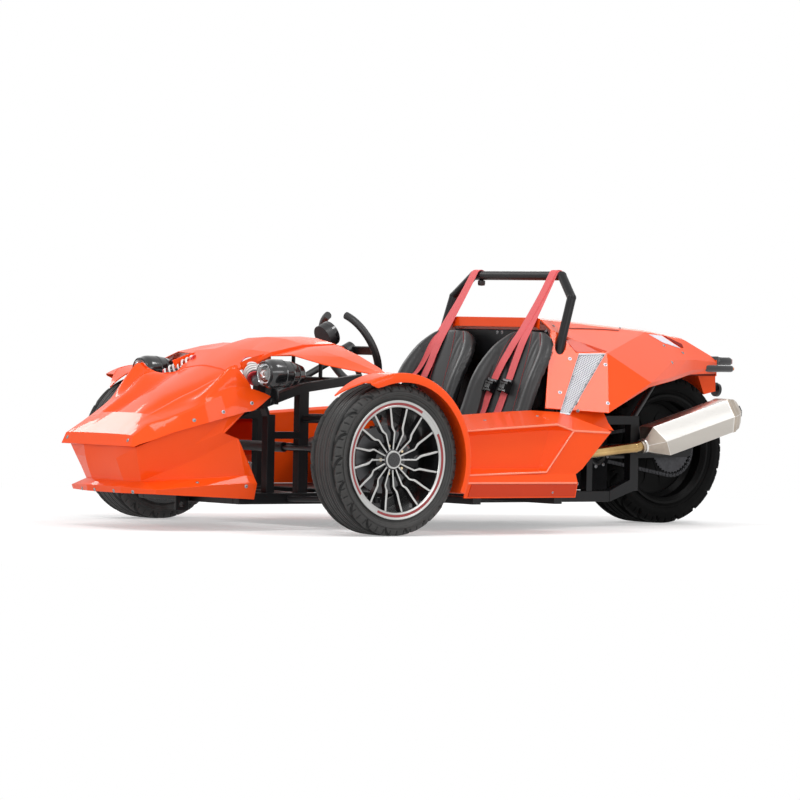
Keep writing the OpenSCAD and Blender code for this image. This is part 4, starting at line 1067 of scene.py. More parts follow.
def add_strap(name, path):
    bm = bmesh.new()
    cloth = bm.loops.layers.uv.new("weave")
    rows, length = [], 0.0
    for k, (p, _) in enumerate(path):
        wide, _, out = strap_axes(path, k)
        length += (p - path[k - 1][0]).length if k else 0.0
        row = []
        for s, side in [(s, 1) for s in STRAP_ACROSS] + [(s, -1) for s in STRAP_ACROSS[::-1]]:
            lift = STRAP_THICK * (0.5 if abs(s) < 0.95 else 0.15) * side
            row.append((bm.verts.new(p + wide * (s * STRAP_HALF) + out * lift), (s * STRAP_HALF, length)))
        rows.append(row)
    size = len(rows[0])
    for one, two in zip(rows[:-1], rows[1:]):
        for j in range(size):
            m = (j + 1) % size
            corners = (one[j], one[m], two[m], two[j])
            face = bm.faces.new([v for v, _ in corners])
            for loop, (_, place) in zip(face.loops, corners):
                loop[cloth].uv = place
    for row in (rows[0], rows[-1]):
        bm.faces.new([v for v, _ in row])
    bmesh.ops.recalc_face_normals(bm, faces=bm.faces)
    place_mesh(name, bm, webbing, "chassis", (), 60)


AXES = (Vector((1, 0, 0)), Vector((0, 1, 0)), Vector((0, 0, 1)))


def add_block(bm, place, size, axes):
    """A box with plain edges added to a bmesh."""
    made = bmesh.ops.create_cube(bm, size=1.0)["verts"]
    turn = Matrix(axes).transposed()
    for v in made:
        v.co = place + turn @ Vector((v.co.x * size[0], v.co.y * size[1], v.co.z * size[2]))
    return made


def add_box(bm, place, size, bevel, axes=AXES):
    """A box with rounded edges added to a bmesh."""
    made = add_block(bm, place, size, axes)
    edges = list({e for v in made for e in v.link_edges})
    bmesh.ops.bevel(bm, geom=edges, offset=bevel, segments=3, profile=0.5, affect="EDGES")


def add_harness(trees):
    buckles = bmesh.new()
    tongues = bmesh.new()
    behind = at(-1.2, 0, 0).x
    for name, (side, lift, table) in STRAP_SIDES.items():
        path = strap_path(lift, table, trees[side])
        add_strap("strap_" + name, path)
        k = min(range(len(path)),
                key=lambda i: abs(path[i][0].z - BUCKLE_Z) + (9 if path[i][0].x < behind else 0))
        p = path[k][0]
        axes = strap_axes(path, k)
        _, run, out = axes
        add_box(buckles, p + out * 0.009, (0.054, 0.044, 0.017), 0.004, axes)
        add_box(buckles, p + out * 0.019, (0.034, 0.020, 0.006), 0.002, axes)
        add_box(tongues, p - run * 0.028 + out * 0.005, (0.058, 0.012, 0.004), 0.0015, axes)
    place_mesh("harness_buckles", buckles, gloss_black, "chassis", ["harness"], 40)
    place_mesh("harness_bars", tongues, bolt_steel, "chassis", (), 40)


# Shapes turned about any axis
def turned(profile, count, start, axis, bm, closed=False):
    """A lathe shape added to a bmesh: profile is (radius, distance along the axis, material number)."""
    axis = Vector(axis).normalized()
    across = axis.orthogonal().normalized()
    other = axis.cross(across)
    rings = []
    for k in range(count):
        a = 2 * math.pi * k / count
        ray = across * math.cos(a) + other * math.sin(a)
        rings.append([bm.verts.new(Vector(start) + axis * p[1] + ray * p[0]) for p in profile])
    last = len(profile) if closed else len(profile) - 1
    made = []
    for k in range(count):
        one, two = rings[k], rings[(k + 1) % count]
        for j in range(last):
            m = (j + 1) % len(profile)
            face = bm.faces.new((one[j], two[j], two[m], one[m]))
            face.material_index = profile[j][2] if len(profile[j]) > 2 else 0
            made.append(face)
    bmesh.ops.remove_doubles(bm, verts=list({v for f in made if f.is_valid for v in f.verts}), dist=1e-6)
    bmesh.ops.recalc_face_normals(bm, faces=[f for f in made if f.is_valid])


# Headlamps: stepped bullet cases, chrome bowls and domed glass
LAMP_AT = (0.320, 0.440, 0.622)
LAMP_CASE = ((0.0, 0.190, 0), (0.020, 0.189, 0), (0.034, 0.177, 0), (0.0435, 0.150, 0), (0.0415, 0.148, 0),
             (0.0415, 0.143, 0), (0.0460, 0.141, 0), (0.0515, 0.116, 0), (0.0490, 0.114, 0),
             (0.0490, 0.109, 0), (0.0535, 0.107, 0), (0.0575, 0.078, 0), (0.0550, 0.076, 0),
             (0.0550, 0.071, 0), (0.0580, 0.069, 0), (0.0585, 0.036, 0), (0.0560, 0.020, 0),
             (0.0500, 0.011, 0), (0.0495, 0.008, 1), (0.0495, -0.001, 1), (0.0470, -0.003, 1),
             (0.0445, 0.000, 2), (0.0400, 0.012, 2), (0.0280, 0.029, 2), (0.0120, 0.037, 2),
             (0.0, 0.038, 2))
LAMP_BULB = ((0.0, 0.016, 3), (0.009, 0.018, 3), (0.011, 0.030, 3), (0.011, 0.036, 3))
LAMP_LENS = ((0.0440, 0.0012), (0.0300, -0.0035), (0.0150, -0.0055), (0.0, -0.0060), (0.0, -0.0040),
             (0.0150, -0.0035), (0.0300, -0.0015), (0.0440, 0.0030))
LAMP_PIN = ((0.0, 0.0), (0.012, 0.0), (0.012, 0.050), (0.0, 0.050))
BACKWARD = (-1, 0, 0)


def add_headlamps():
    bm = bmesh.new()
    glass = bmesh.new()
    for side in (1, -1):
        start = at(LAMP_AT[0], side * LAMP_AT[1], LAMP_AT[2])
        turned(LAMP_CASE, 56, start, BACKWARD, bm)
        turned(LAMP_BULB, 24, start, BACKWARD, bm)
        turned(LAMP_LENS, 48, start, BACKWARD, glass)
        turned(LAMP_PIN, 24, at(0.210, side * 0.361, 0.590), (0, side, 0), bm)
        add_box(bm, at(0.210, side * 0.358, 0.552), (0.040, 0.006, 0.104), 0.0015)
    finishes = [gloss_black, satin_black, chrome, coil_white]
    place_mesh("headlamp_cases", bm, finishes, "chassis", ["headlamps"], 28)
    place_mesh("headlamp_glass", glass, lamp_glass, "chassis", (), 50)


# Springs: smooth coils with coloured seats
SHOCK_IN = (0.206, 0.160, 0.668)
SHOCK_OUT = (0.280, 0.330, 0.592)
COIL_R, COIL_WIRE, COIL_TURNS = 0.030, 0.0048, 6
COIL_STEPS, COIL_SIDES = 36, 10
COIL_INSET = 0.035
SPRING_SEAT = ((0.010, 0.0), (0.0295, 0.0), (0.0305, 0.002), (0.0305, 0.007), (0.0295, 0.009),
               (0.010, 0.009))


def add_springs():
    coils = bmesh.new()
    seats = bmesh.new()
    dampers = bmesh.new()
    sides = np.linspace(0, 2 * math.pi, COIL_SIDES, endpoint=False)
    for side in (1, -1):
        start = at(SHOCK_OUT[0], side * SHOCK_OUT[1], SHOCK_OUT[2])
        end = at(SHOCK_IN[0], side * SHOCK_IN[1], SHOCK_IN[2])
        axis = (end - start).normalized()
        length = (end - start).length
        across = axis.orthogonal().normalized()
        other = axis.cross(across)
        low, high = COIL_INSET, length - COIL_INSET
        rings = []
        for t in np.linspace(0, 1, COIL_TURNS * COIL_STEPS + 1):
            a = 2 * math.pi * COIL_TURNS * t
            ray = across * math.cos(a) + other * math.sin(a)
            mid = start + axis * (low + (high - low) * t) + ray * COIL_R
            rings.append([coils.verts.new(mid + (ray * math.cos(b) + axis * math.sin(b)) * COIL_WIRE)
                          for b in sides])
        join_rings(coils, rings)
        for place in (0.022, length - 0.031):
            turned(SPRING_SEAT, 40, start + axis * place, axis, seats)
        damper = ((0.0, -0.012), (0.017, -0.012), (0.017, 0.090), (0.008, 0.092), (0.008, length + 0.012),
                  (0.0, length + 0.012))
        turned(damper, 32, start, axis, dampers)
    bmesh.ops.recalc_face_normals(coils, faces=coils.faces)
    place_mesh("front_spring_coils", coils, coil_white, "chassis", ["front_springs"], 70)
    place_mesh("front_spring_seats", seats, anodized_red, "chassis", (), 30)
    place_mesh("front_dampers", dampers, disc_steel, "chassis", ["front_shocks"], 30)


# Perforated plates: hexagonal cells in a plane, each opened to a hole
FLANK_TOP, FLANK_FOOT, FLANK_HIP = (-1.180, 0.360, 0.817), (-1.020, 0.534, 0.497), (-1.370, 0.500, 0.725)
GRILLE_CORNERS = ((578.6, 354.2), (605.2, 354.2), (569.5, 415.2), (559.6, 413.8))
GRILLE_CELL = 0.0052
GRILLE_THICK = 0.0014
GRILLE_BORDER = 0.006


def inside(shape, p, margin):
    """True where a point lies in a convex outline by more than a margin."""
    signs = []
    for a, b in zip(shape, shape[1:] + shape[:1]):
        run = b - a
        signs.append((run.x * (p.y - a.y) - run.y * (p.x - a.x)) / run.length)
    return min(signs) > margin or max(signs) < -margin


def perforated(name, origin, u, v, shape, cell, mat):
    """A plate with hexagonal holes and a plain border."""
    shape = [Vector((p[0], p[1])) for p in shape]
    low = Vector((min(p.x for p in shape), min(p.y for p in shape)))
    high = Vector((max(p.x for p in shape), max(p.y for p in shape)))
    points, faces, seen = [], [], {}
    pitch_x, pitch_y = cell * math.sqrt(3), cell * 1.5
    for j in range(int((high.y - low.y) / pitch_y) + 2):
        for i in range(int((high.x - low.x) / pitch_x) + 2):
            mid = low + Vector(((i + 0.5 * (j % 2)) * pitch_x, j * pitch_y))
            if not inside(shape, mid, cell * 0.9):
                continue
            ring = []
            for k in range(6):
                a = math.pi / 6 + k * math.pi / 3
                p = mid + Vector((math.cos(a), math.sin(a))) * cell
                key = (round(p.x * 2e4), round(p.y * 2e4))
                if key not in seen:
                    seen[key] = len(points)
                    points.append(origin + u * p.x + v * p.y)
                ring.append(seen[key])
            faces.append(ring)
    base = bpy.data.meshes.new(name + "_cells")
    base.from_pydata(points, [], faces)
    mesh = run_tree(name, base, perforation_tree(mat))
    bm = bmesh.new()
    bm.from_mesh(mesh)
    bmesh.ops.remove_doubles(bm, verts=bm.verts, dist=1e-6)
    bmesh.ops.recalc_face_normals(bm, faces=bm.faces)
    bmesh.ops.solidify(bm, geom=bm.faces[:], thickness=GRILLE_THICK)
    middle = sum(shape, Vector((0, 0))) / len(shape)
    n = u.cross(v).normalized()
    loops = []
    for grow, lift in ((0.0, -0.0016), (0.0, 0.0020), (GRILLE_BORDER, 0.0020), (GRILLE_BORDER, -0.0016)):
        outline = [p + (middle - p).normalized() * grow for p in shape]
        loops.append([bm.verts.new(origin + u * q.x + v * q.y + n * lift) for q in outline])
    join_rings(bm, loops + loops[:1], ends=False)
    bmesh.ops.recalc_face_normals(bm, faces=bm.faces)
    return bm


def mirrored_into(bm):
    """Adds the other side's copy to a bmesh."""
    made = bmesh.ops.duplicate(bm, geom=bm.verts[:] + bm.edges[:] + bm.faces[:])["geom"]
    for v in made:
        if isinstance(v, bmesh.types.BMVert):
            v.co.y = -v.co.y
    bmesh.ops.reverse_faces(bm, faces=[f for f in made if isinstance(f, bmesh.types.BMFace)])
    return bm


def add_plate(bm, corners, thick):
    """A flat plate on an outline."""
    join_rings(bm, [[bm.verts.new(p + thick) for p in corners], [bm.verts.new(p) for p in corners]])
    bmesh.ops.recalc_face_normals(bm, faces=bm.faces)


def add_grilles():
    top, foot, hip = (at(*p) for p in (FLANK_TOP, FLANK_FOOT, FLANK_HIP))
    u = (hip - top).normalized()
    n = (foot - top).cross(u).normalized()
    v = n.cross(u)
    corners = [seen_on_plane(px, py, top, n) for px, py in GRILLE_CORNERS]
    shape = [((p - top).dot(u), (p - top).dot(v)) for p in corners]
    bm = perforated("flank_grille", top + n * 0.0030, u, v, shape, GRILLE_CELL, grille_steel)
    place_mesh("flank_grilles", mirrored_into(bm), grille_steel, "chassis",
               ["side_grilles"], 30)
    backing = bmesh.new()
    add_plate(backing, [p + n * 0.0004 for p in corners], n * 0.0012)
    place_mesh("flank_grille_backing", mirrored_into(backing), satin_black, "chassis", (),
               30)


# Screws: places read in the photograph, dropped onto the panels under them
SCREWS = {
    "nose_upper": ((63.3, 436.7), (127.9, 440.2), (194.2, 420.2), (223.4, 411.9), (251.8, 403.1)),
    "nose_lower": ((197.3, 482.5), (246.2, 486.3), (94.6, 489.5), (132.8, 491.9)),
    "side_pods": ((484.8, 420.4), (537.2, 416.2), (460.3, 489.9), (552.4, 492.5)),
    "rear_panels": ((553.6, 325.9), (569.9, 358.8), (559.9, 392.4), (577.9, 410.7), (605.4, 364.7),
                    (607.8, 403.3), (608.3, 416.9), (672.2, 362.5),
                    (663.9, 345.8), (682.8, 352.8)),
    "engine_cover": ((620.0, 328.2), (659.3, 331.3), (700.9, 347.9)),
    "firewall": ((502.2, 332.3), (545.8, 330.7))}


def add_bolts(name, spots, body="chassis"):
    mesh = run_tree(name, points_mesh(name + "_places", spots), button_screw_tree())
    place_grown(name, mesh, body)


def add_screws(panels):
    spots = []
    for node, places in SCREWS.items():
        trees = [tree_of(panels[node].data)]
        for hit, normal in filter(None, (first_hit(trees, *place) for place in places)):
            spots.append((hit, normal))
            spots.append((Vector((hit.x, -hit.y, hit.z)), Vector((normal.x, -normal.y, normal.z))))
    add_bolts("panel_screws", spots)


# Chain: links along the loop round both sprockets
CHAIN_Y = 0.1425
LINK_PITCH = 0.0190
LINK_R = 0.0068
PLATE_HALF = 0.0011
LINK_PIN = ((0.0, -0.0095), (0.0042, -0.0095), (0.0042, 0.0095), (0.0, 0.0095))
DRIVE_R = 0.034


def link_mesh():
    bm = bmesh.new()
    outline = []
    for middle, first in ((-LINK_PITCH / 2, 90), (LINK_PITCH / 2, -90)):
        for a in np.radians(np.linspace(first, first + 180, 7)):
            outline.append((middle + LINK_R * math.cos(a), LINK_R * math.sin(a)))
    for y in (-0.0068, 0.0068):
        faces = (y - PLATE_HALF, y + PLATE_HALF)
        join_rings(bm, [[bm.verts.new((x, face, z)) for x, z in outline] for face in faces])
    turned(LINK_PIN, 8, (-LINK_PITCH / 2, 0, 0), (0, 1, 0), bm)
    bmesh.ops.recalc_face_normals(bm, faces=bm.faces)
    return mesh_of("one_link", bm)


def link_tree(mat, link_object):
    tree, start, end = new_tree("chain_links")
    source = tree_node(tree, "GeometryNodeObjectInfo", Object=link_object)
    spread = tree_node(tree, "GeometryNodeInstanceOnPoints")
    way = tree_node(tree, "GeometryNodeInputNamedAttribute", data_type="FLOAT_VECTOR", Name="way")
    turn = tree_node(tree, "FunctionNodeAlignRotationToVector", axis="X", pivot_axis="Y")
    wire(tree, (start.outputs[0], spread.inputs["Points"]),
         (source.outputs["Geometry"], spread.inputs["Instance"]), (way.outputs[0], turn.inputs["Vector"]),
         (turn.outputs[0], spread.inputs["Rotation"]))
    close_tree(tree, end, spread.outputs[0], (mat, None))
    return tree


def add_chain():
    low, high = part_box("drive_chain")
    big = (high[2] - low[2]) / 2 - 0.006
    rear = Vector((REAR_AXLE_X, 0, REAR_R))
    drive = Vector((high[0] - DRIVE_R - 0.012, 0, 0.330))
    small = DRIVE_R + 0.006
    run = drive - rear
    lean = math.atan2(run.z, run.x)
    a = math.acos((big - small) / run.length)
    loop = []
    for middle, radius, angles in ((rear, big, np.linspace(lean + a, lean + 2 * math.pi - a, 60)),
                                   (drive, small, np.linspace(lean - a, lean + a, 24))):
        for b in angles:
            loop.append(middle + Vector((math.cos(b), 0, math.sin(b))) * radius)
    loop.append(loop[0])
    gaps = np.cumsum([0.0] + [(q - p).length for p, q in zip(loop[:-1], loop[1:])])
    count = int(round(gaps[-1] / LINK_PITCH))
    xs, zs = [p.x for p in loop], [p.z for p in loop]
    marks = np.arange(count) * gaps[-1] / count
    step = gaps[-1] / count / 2

    def where(s):
        s %= gaps[-1]
        return Vector((float(np.interp(s, gaps, xs)), CHAIN_Y, float(np.interp(s, gaps, zs))))

    spots = [(where(s), (where(s + step) - where(s - step)).normalized()) for s in marks]
    link_object = new_object("one_link", link_mesh())
    mesh = run_tree("chain_links", points_mesh("link_places", spots), link_tree(chain_steel, link_object))
    bpy.data.objects.remove(link_object)
    place_grown("chain_links", mesh, "chassis", ["drive_chain"])


# Silencer: six-sided can with a slanted inlet cone and a domed end
SILENCER_IN, SILENCER_OUT = (-1.655, 0.392, 0.338), (-2.182, 0.392, 0.488)
CAN_SECTION = ((0.074, 0.0), (0.045, 0.073), (-0.045, 0.073), (-0.074, 0.0), (-0.045, -0.068),
               (0.045, -0.068))
CONE_ENDS = (0.077, 0.042, 0.042, 0.077, 0.105, 0.105)
CAN_RINGS = ((0.458, 1.0, 1), (0.459, 1.025, 1), (0.476, 1.025, 1), (0.477, 0.99, 1), (0.500, 0.90, 1),
             (0.522, 0.66, 1), (0.536, 0.44, 1), (0.540, 0.36, 2), (0.548, 0.34, 2), (0.548, 0.28, 2),
             (0.520, 0.26, 2))


def add_silencer():
    start, end = at(*SILENCER_IN), at(*SILENCER_OUT)
    axis = (end - start).normalized()
    high = Vector((axis.z, 0, -axis.x))
    bm = bmesh.new()

    def ring(stations, scale):
        return [bm.verts.new(start + axis * s + (AXES[1] * y + high * z) * scale)
                for s, (y, z) in zip(stations, CAN_SECTION)]

    count = len(CAN_SECTION)
    rings = [ring([0.012] * count, 0.40), ring(CONE_ENDS, 1.0)]
    rings += [ring([s] * count, scale) for s, scale, _ in CAN_RINGS]
    kinds = [1, 0] + [kind for _, _, kind in CAN_RINGS]
    for k, face in enumerate(join_rings(bm, rings, ends=False)):
        kind = kinds[k // count]
        # the can body's lower three faces get the darker can steel: painted shade
        face.material_index = 3 if kind == 0 and k % count > 2 else kind
    bm.faces.new(rings[0])
    bm.faces.new(rings[-1]).material_index = 2
    bmesh.ops.recalc_face_normals(bm, faces=bm.faces)
    bmesh.ops.bevel(bm, geom=sharp_edges(bm, 15), offset=0.0022, segments=BEVEL_SEGMENTS, profile=0.5,
                    affect="EDGES", clamp_overlap=True)
    turned(((0.0, -0.010, 1), (0.027, -0.010, 1), (0.027, 0.016, 1), (0.0, 0.016, 1)), 40, start, axis, bm)
    turned(((0.027, 0.0), (0.0315, 0.001), (0.0315, 0.011), (0.027, 0.012)), 40, start, axis, bm, True)
    finishes = [can_steel, warm_steel, satin_black, can_painted_shade]
    place_mesh("silencer_can", bm, finishes, "chassis", ["silencer"], 24)


# Upper nose: a flat visor, a tongue between two channels, and rounded scoops over the shocks
NOSE_FRONT = 0.815
NOSE_ROWS = (
    (0, (0, 330), (60, 330), (100, 330), (130, 330), (160, 330), (180, 330), (195, 330), (215, 330),
     (232, 330), (246, 330), (259, 329, 10)),
    (17, (0, 376), (60, 376), (100, 376), (125, 376), (150, 375), (170, 375), (188, 375), (208, 374),
     (226, 374), (240, 371), (264, 338, 10)),
    (82, (0, 421), (60, 421), (95, 421), (120, 420), (145, 420), (165, 420), (182, 419), (204, 418),
     (224, 416), (238, 411), (277, 358, 12)),
    (135, (0, 458), (60, 458), (95, 457), (125, 456), (166, 453), (185, 449), (205, 445), (232, 441),
     (258, 436), (271, 428), (300, 380, 12)),
    (147, (0, 454), (70, 452), (100, 446), (134, 442), (172, 459), (190, 454), (212, 449), (238, 444),
     (264, 439), (277, 431), (304, 385, 12)),
    (255, (0, 523), (80, 517), (122, 496), (150, 490), (198, 520), (234, 508), (268, 499), (298, 493),
     (316, 489), (326, 481), (345, 418, 10)),
    (320, (0, 556), (92, 548), (138, 526), (166, 520), (224, 554), (262, 542), (312, 560), (330, 546),
     (338, 530), (348, 520), (362, 437, 8)),
    (400, (0, 594), (110, 585), (160, 566), (190, 560), (260, 602), (290, 606), (329, 643), (347, 604),
     (352, 562), (362, 548), (376, 458, 12)),
    (440, (0, 614), (112, 604), (158, 588), (196, 580), (266, 611), (296, 617), (333, 649), (352, 604),
     (356, 563), (365, 550), (381, 470, 12)),
    (504, (0, 645), (100, 636), (150, 628), (200, 612, -9), (262, 613, -34), (296, 626, -54),
     (331, 650, -76), (350, 600, -34), (358, 562, -18),
     (367, 552, -18), (386, 481, -6)),
    (509, (0, 647), (100, 638), (150, 630), (200, 614, -9), (262, 614, -34), (297, 627, -54),
     (331, 651, -77), (350, 600, -34), (359, 563, -18),
     (378, 545, 36), (388, 532, 59)))
NOSE_FLAT_ROWS = 4
FLANGE_COLUMNS = 2


def nose_grid():
    """Rows of points over the whole nose: straight up to the visor's back edge, and curved behind it."""
    rows = []
    for back, *places in NOSE_ROWS:
        half = [at(NOSE_FRONT - (back + (p[2] if len(p) > 2 else 0)) / 1000, p[0] / 1000,
                   p[1] / 1000) for p in places]
        rows.append([(p.x, -p.y, p.z) for p in half[:0:-1]] + [tuple(p) for p in half])
    rows = np.array(rows)
    flat = [one + (two - one) * t for one,
            two in zip(rows[:NOSE_FLAT_ROWS], rows[1:]) for t in (0.0, 0.33, 0.67)]
    curved = np.stack([curve_through(rows[NOSE_FLAT_ROWS:, j], 6) for j in range(rows.shape[1])], 1)
    return [np.vstack([line[:FLANGE_COLUMNS], curve_through(line[FLANGE_COLUMNS:-FLANGE_COLUMNS], 4),
                       line[-FLANGE_COLUMNS:]])
            for line in [*flat, *curved]]


def add_nose():
    bm = bmesh.new()
    add_sheet(bm, nose_grid(), 0.004, at(0.5, 0, 9))
    return place_mesh("nose_upper_skin", bm, paint, "chassis", ["nose_upper"], 32)


# Gauge and tail lamps
COLUMN_DIR = Vector((0.705, 0, -0.344)).normalized()
GAUGE_UP = Vector((-COLUMN_DIR.z, 0, COLUMN_DIR.x))
GAUGE_PROFILE = ((0.0, 0.0, 0), (0.0436, 0.0, 0), (0.0436, 0.004, 1), (0.0436, -0.006, 1),
                 (0.0500, -0.0075, 1), (0.0525, -0.004, 1), (0.0525, 0.012, 1))
GAUGE_MARKS = 25
NEEDLE_TURN = -2.1
REFLECTOR = ((0.0, 0.0, 0), (0.024, 0.0, 0), (0.026, -0.002, 1), (0.029, 0.0, 1), (0.029, 0.014, 1),
             (0.0, 0.014, 1))


def gauge_mark(bm, place, ray, size, kind):
    made = add_block(bm, place, size, (ray, COLUMN_DIR.cross(ray), COLUMN_DIR))
    for face in {f for v in made for f in v.link_faces}:
        face.material_index = kind


def add_gauge():
    middle = at(-0.610, -0.260, 0.716) + COLUMN_DIR * (0.084 - 0.022) + GAUGE_UP * 0.107
    bm = bmesh.new()
    turned(GAUGE_PROFILE, 56, middle, COLUMN_DIR, bm)
    for k in range(GAUGE_MARKS):
        a = math.radians(-130 + 260 * k / (GAUGE_MARKS - 1))
        ray = GAUGE_UP * math.cos(a) + AXES[1] * math.sin(a)
        reach, long = (0.036, 0.009) if k % 4 == 0 else (0.038, 0.005)
        gauge_mark(bm, middle - COLUMN_DIR * 0.0008 + ray * reach, ray, (long, 0.0014, 0.0010), 2)
    needle = GAUGE_UP * math.cos(NEEDLE_TURN) + AXES[1] * math.sin(NEEDLE_TURN)
    gauge_mark(bm, middle - COLUMN_DIR * 0.002 + needle * 0.014, needle, (0.036, 0.0018, 0.0012), 3)
    turned(((0.0, -0.0035, 1), (0.005, -0.003, 1), (0.006, 0.0, 1)), 20, middle, COLUMN_DIR, bm)
    finishes = [satin_black, gloss_black, coil_white, anodized_red]
    place_mesh("gauge_face", bm, finishes, "chassis", (), 30)


def add_tail():
    """A round-nosed black tail lamp, tapered indicator blades and a reflector under the bracket."""
    case = bmesh.new()
    lens = bmesh.new()
    add_box(case, at(-2.408, 0, 0.694), (0.092, 0.080, 0.040), 0.018)
    add_box(case, at(-2.338, 0, 0.688), (0.090, 0.036, 0.020), 0.006)
    add_box(lens, at(-2.449, 0, 0.694), (0.014, 0.062, 0.022), 0.004)
    amber = bmesh.new()
    for side in (1, -1):
        add_box(case, at(-2.285, side * 0.128, 0.664), (0.170, 0.030, 0.030), 0.012)
        add_box(case, at(-2.270, side * 0.070, 0.666), (0.022, 0.120, 0.018), 0.006)
        add_box(case, at(-2.290, side * 0.080, 0.699), (0.070, 0.030, 0.036), 0.006)
        add_box(amber, at(-2.371, side * 0.128, 0.664), (0.008, 0.018, 0.014), 0.003)
    place_mesh("tail_lamp_cases", case, gloss_black, "chassis", ["tail_lamps"], 40)
    place_mesh("tail_lens", lens, red_lens, "chassis", (), 40)
    place_mesh("indicator_lenses", amber, amber_lens, "chassis", (), 40)
    reflector = bmesh.new()
    turned(REFLECTOR, 36, at(-2.398, 0, 0.570), (1, 0, 0.1), reflector)
    add_box(reflector, at(-2.336, 0, 0.586), (0.108, 0.030, 0.034), 0.004)
    for face in reflector.faces:
        if face.calc_center_median().x > at(-2.396, 0, 0).x:
            face.material_index = 1
    place_mesh("tail_reflector", reflector, [red_lens, satin_black], "chassis", (), 30)


# Panel gaps, facets (some of painted shade), folds in a painted highlight, lips and filler panels; the
# pairs are places in the photograph
GAPS = (((568.0, 328.4), (585.0, 328.8), (602.0, 329.4), (618.6, 330.6)),)
FACET_STEPS = 7
FACETS = {
    # the flank recess and pod sill plates are painted shade: darker orange where the panels face down
    "flank_recesses": (painted_shade_paint, "orange_paint",
                       ((561.0, 334.5), (566.5, 337.5), (606.6, 351.6), (576.2, 352.4))),
    "deck_vents": (vent_white, "machined_rim",
                   ((648.7, 334.6), (661.4, 336.0), (680.3, 348.6), (663.5, 343.0))),
    "deck_slots": (dark_red, "orange_paint",
                   ((662.0, 335.0), (681.7, 344.4), (683.1, 347.9), (679.9, 347.0))),
    "pod_sill_bands": (painted_shade_paint, "orange_paint",
                       ((471.5, 484.3), (576.6, 484.1), (574.3, 496.4), (467.5, 496.8)))}
FENDER_LIP = ((62, 0.3300), (66, 0.3050), (71, 0.3010), (81, 0.3015), (95, 0.3035), (120, 0.3080),
              (160, 0.3130), (203, 0.3150))
POD_FOLDS = (((466.0, 431.0), (557.0, 424.6), (573.8, 430.9), (609.5, 431.2)),
             ((467.5, 473.8), (546.2, 470.7), (573.8, 432.5)), ((466.5, 481.6), (576.4, 481.4)))
FOLD_REACH = 1.6
FOLD_RADIUS = 0.0045
FOLD_SIDES = 8
GAP_HALF = 0.0035
FACET_LIFT = 0.0022
LIP_TOP = 0.3402
CHEEK = ((240.0, 362.5), (254.0, 356.6), (271.0, 352.0), (271.0, 359.8), (252.0, 366.2), (243.5, 370.5))
CHEEK_Y = 0.240
SKIRT = ((-1.075, 0.562, 0.492), (-1.303, 0.562, 0.486), (-1.308, 0.590, 0.440), (-1.330, 0.600, 0.408),
         (-1.180, 0.596, 0.424))
PANEL_THICK = 0.003


def add_gaps(trees):
    """Dark ribbons along the gaps between panels, on both sides."""
    bm = bmesh.new()
    for line in GAPS:
        spots = [spot for spot in (first_hit(trees, *p) for p in line) if spot]
        for (p, n), (q, _) in zip(spots[:-1], spots[1:]):
            wide = (q - p).cross(n).normalized() * GAP_HALF
            add_plate(bm, [p - wide, p + wide, q + wide, q - wide], n * 0.0016)
    place_mesh("panel_gaps", mirrored_into(bm), dark_red, "chassis", (), 30)


def add_fender_lips():
    """Rolled lips along the outer edges of the front fenders: turn from the front, lowest radius there."""
    toward = Vector((FRONT_AXLE_X, 2.0, FRONT_R))
    grid = []
    for turn in np.linspace(FENDER_LIP[0][0], FENDER_LIP[-1][0], 90):
        low = np.interp(turn, *zip(*FENDER_LIP))
        inner = np.interp(turn, (62, 72), (0.866, 0.9215))
        section = ((LIP_TOP, inner), (0.3400, 0.9285), (0.3375, 0.9308), (low + 0.005, 0.9310),
                   (low, 0.9296))
        a = math.radians(turn)
        grid.append([Vector((FRONT_AXLE_X + r * math.cos(a), y, FRONT_R + r * math.sin(a))) for r,
                     y in section])
    bm = bmesh.new()
    add_sheet(bm, grid, PANEL_THICK, toward)
    place_mesh("front_fender_lips", mirrored_into(bm), paint, "chassis", (), 60)


def fold_spot(trees, px, py):
    """The outermost panel point near a pixel, which is the crest of a fold there."""
    found = [first_hit(trees, px, py + step) for step in (-FOLD_REACH, 0, FOLD_REACH)]
    return min((hit[0] for hit in found if hit), key=lambda place: (place - CAMERA_AT).length)


def add_folds(trees):
    """Rounded beads along the folds of the side pods, on both sides, in a lighter paint that is a painted
    highlight over a real gloss.
    """
    bm = bmesh.new()
    for line in POD_FOLDS:
        spots = [fold_spot(trees, *p) for p in line]
        turns = [2 * math.pi * k / FOLD_SIDES for k in range(FOLD_SIDES)]
        rings = []
        for i, place in enumerate(spots):
            along = (spots[min(i + 1, len(spots) - 1)] - spots[max(i - 1, 0)]).normalized()
            side = along.cross(place - CAMERA_AT).normalized()
            lift = side.cross(along)
            rings.append([bm.verts.new(place + (side * math.cos(a) + lift * math.sin(a)) * FOLD_RADIUS)
                          for a in turns])
        join_rings(bm, rings)
    bmesh.ops.recalc_face_normals(bm, faces=bm.faces)
    place_mesh("pod_fold_beads", mirrored_into(bm), fold_painted_highlight, "chassis", (), 50)


def add_facets(trees):
    """Small plates, and facets of painted shade, that follow the rear body and the pods, on both sides."""
    for name, (mat, slot, corners) in FACETS.items():
        a, b, c, d = (np.array(p) for p in corners)
        grid = []
        for t in np.linspace(0, 1, FACET_STEPS):
            left, right = a + (d - a) * t, b + (c - b) * t
            line = [first_hit(trees, *(left + (right - left) * s)) for s in np.linspace(0, 1, FACET_STEPS)]
            grid.append([place + normal * FACET_LIFT for place, normal in line])
        bm = bmesh.new()
        add_sheet(bm, grid, 0.002, CAMERA_AT)
        place_mesh(name, mirrored_into(bm), mat, "chassis", (), 40)


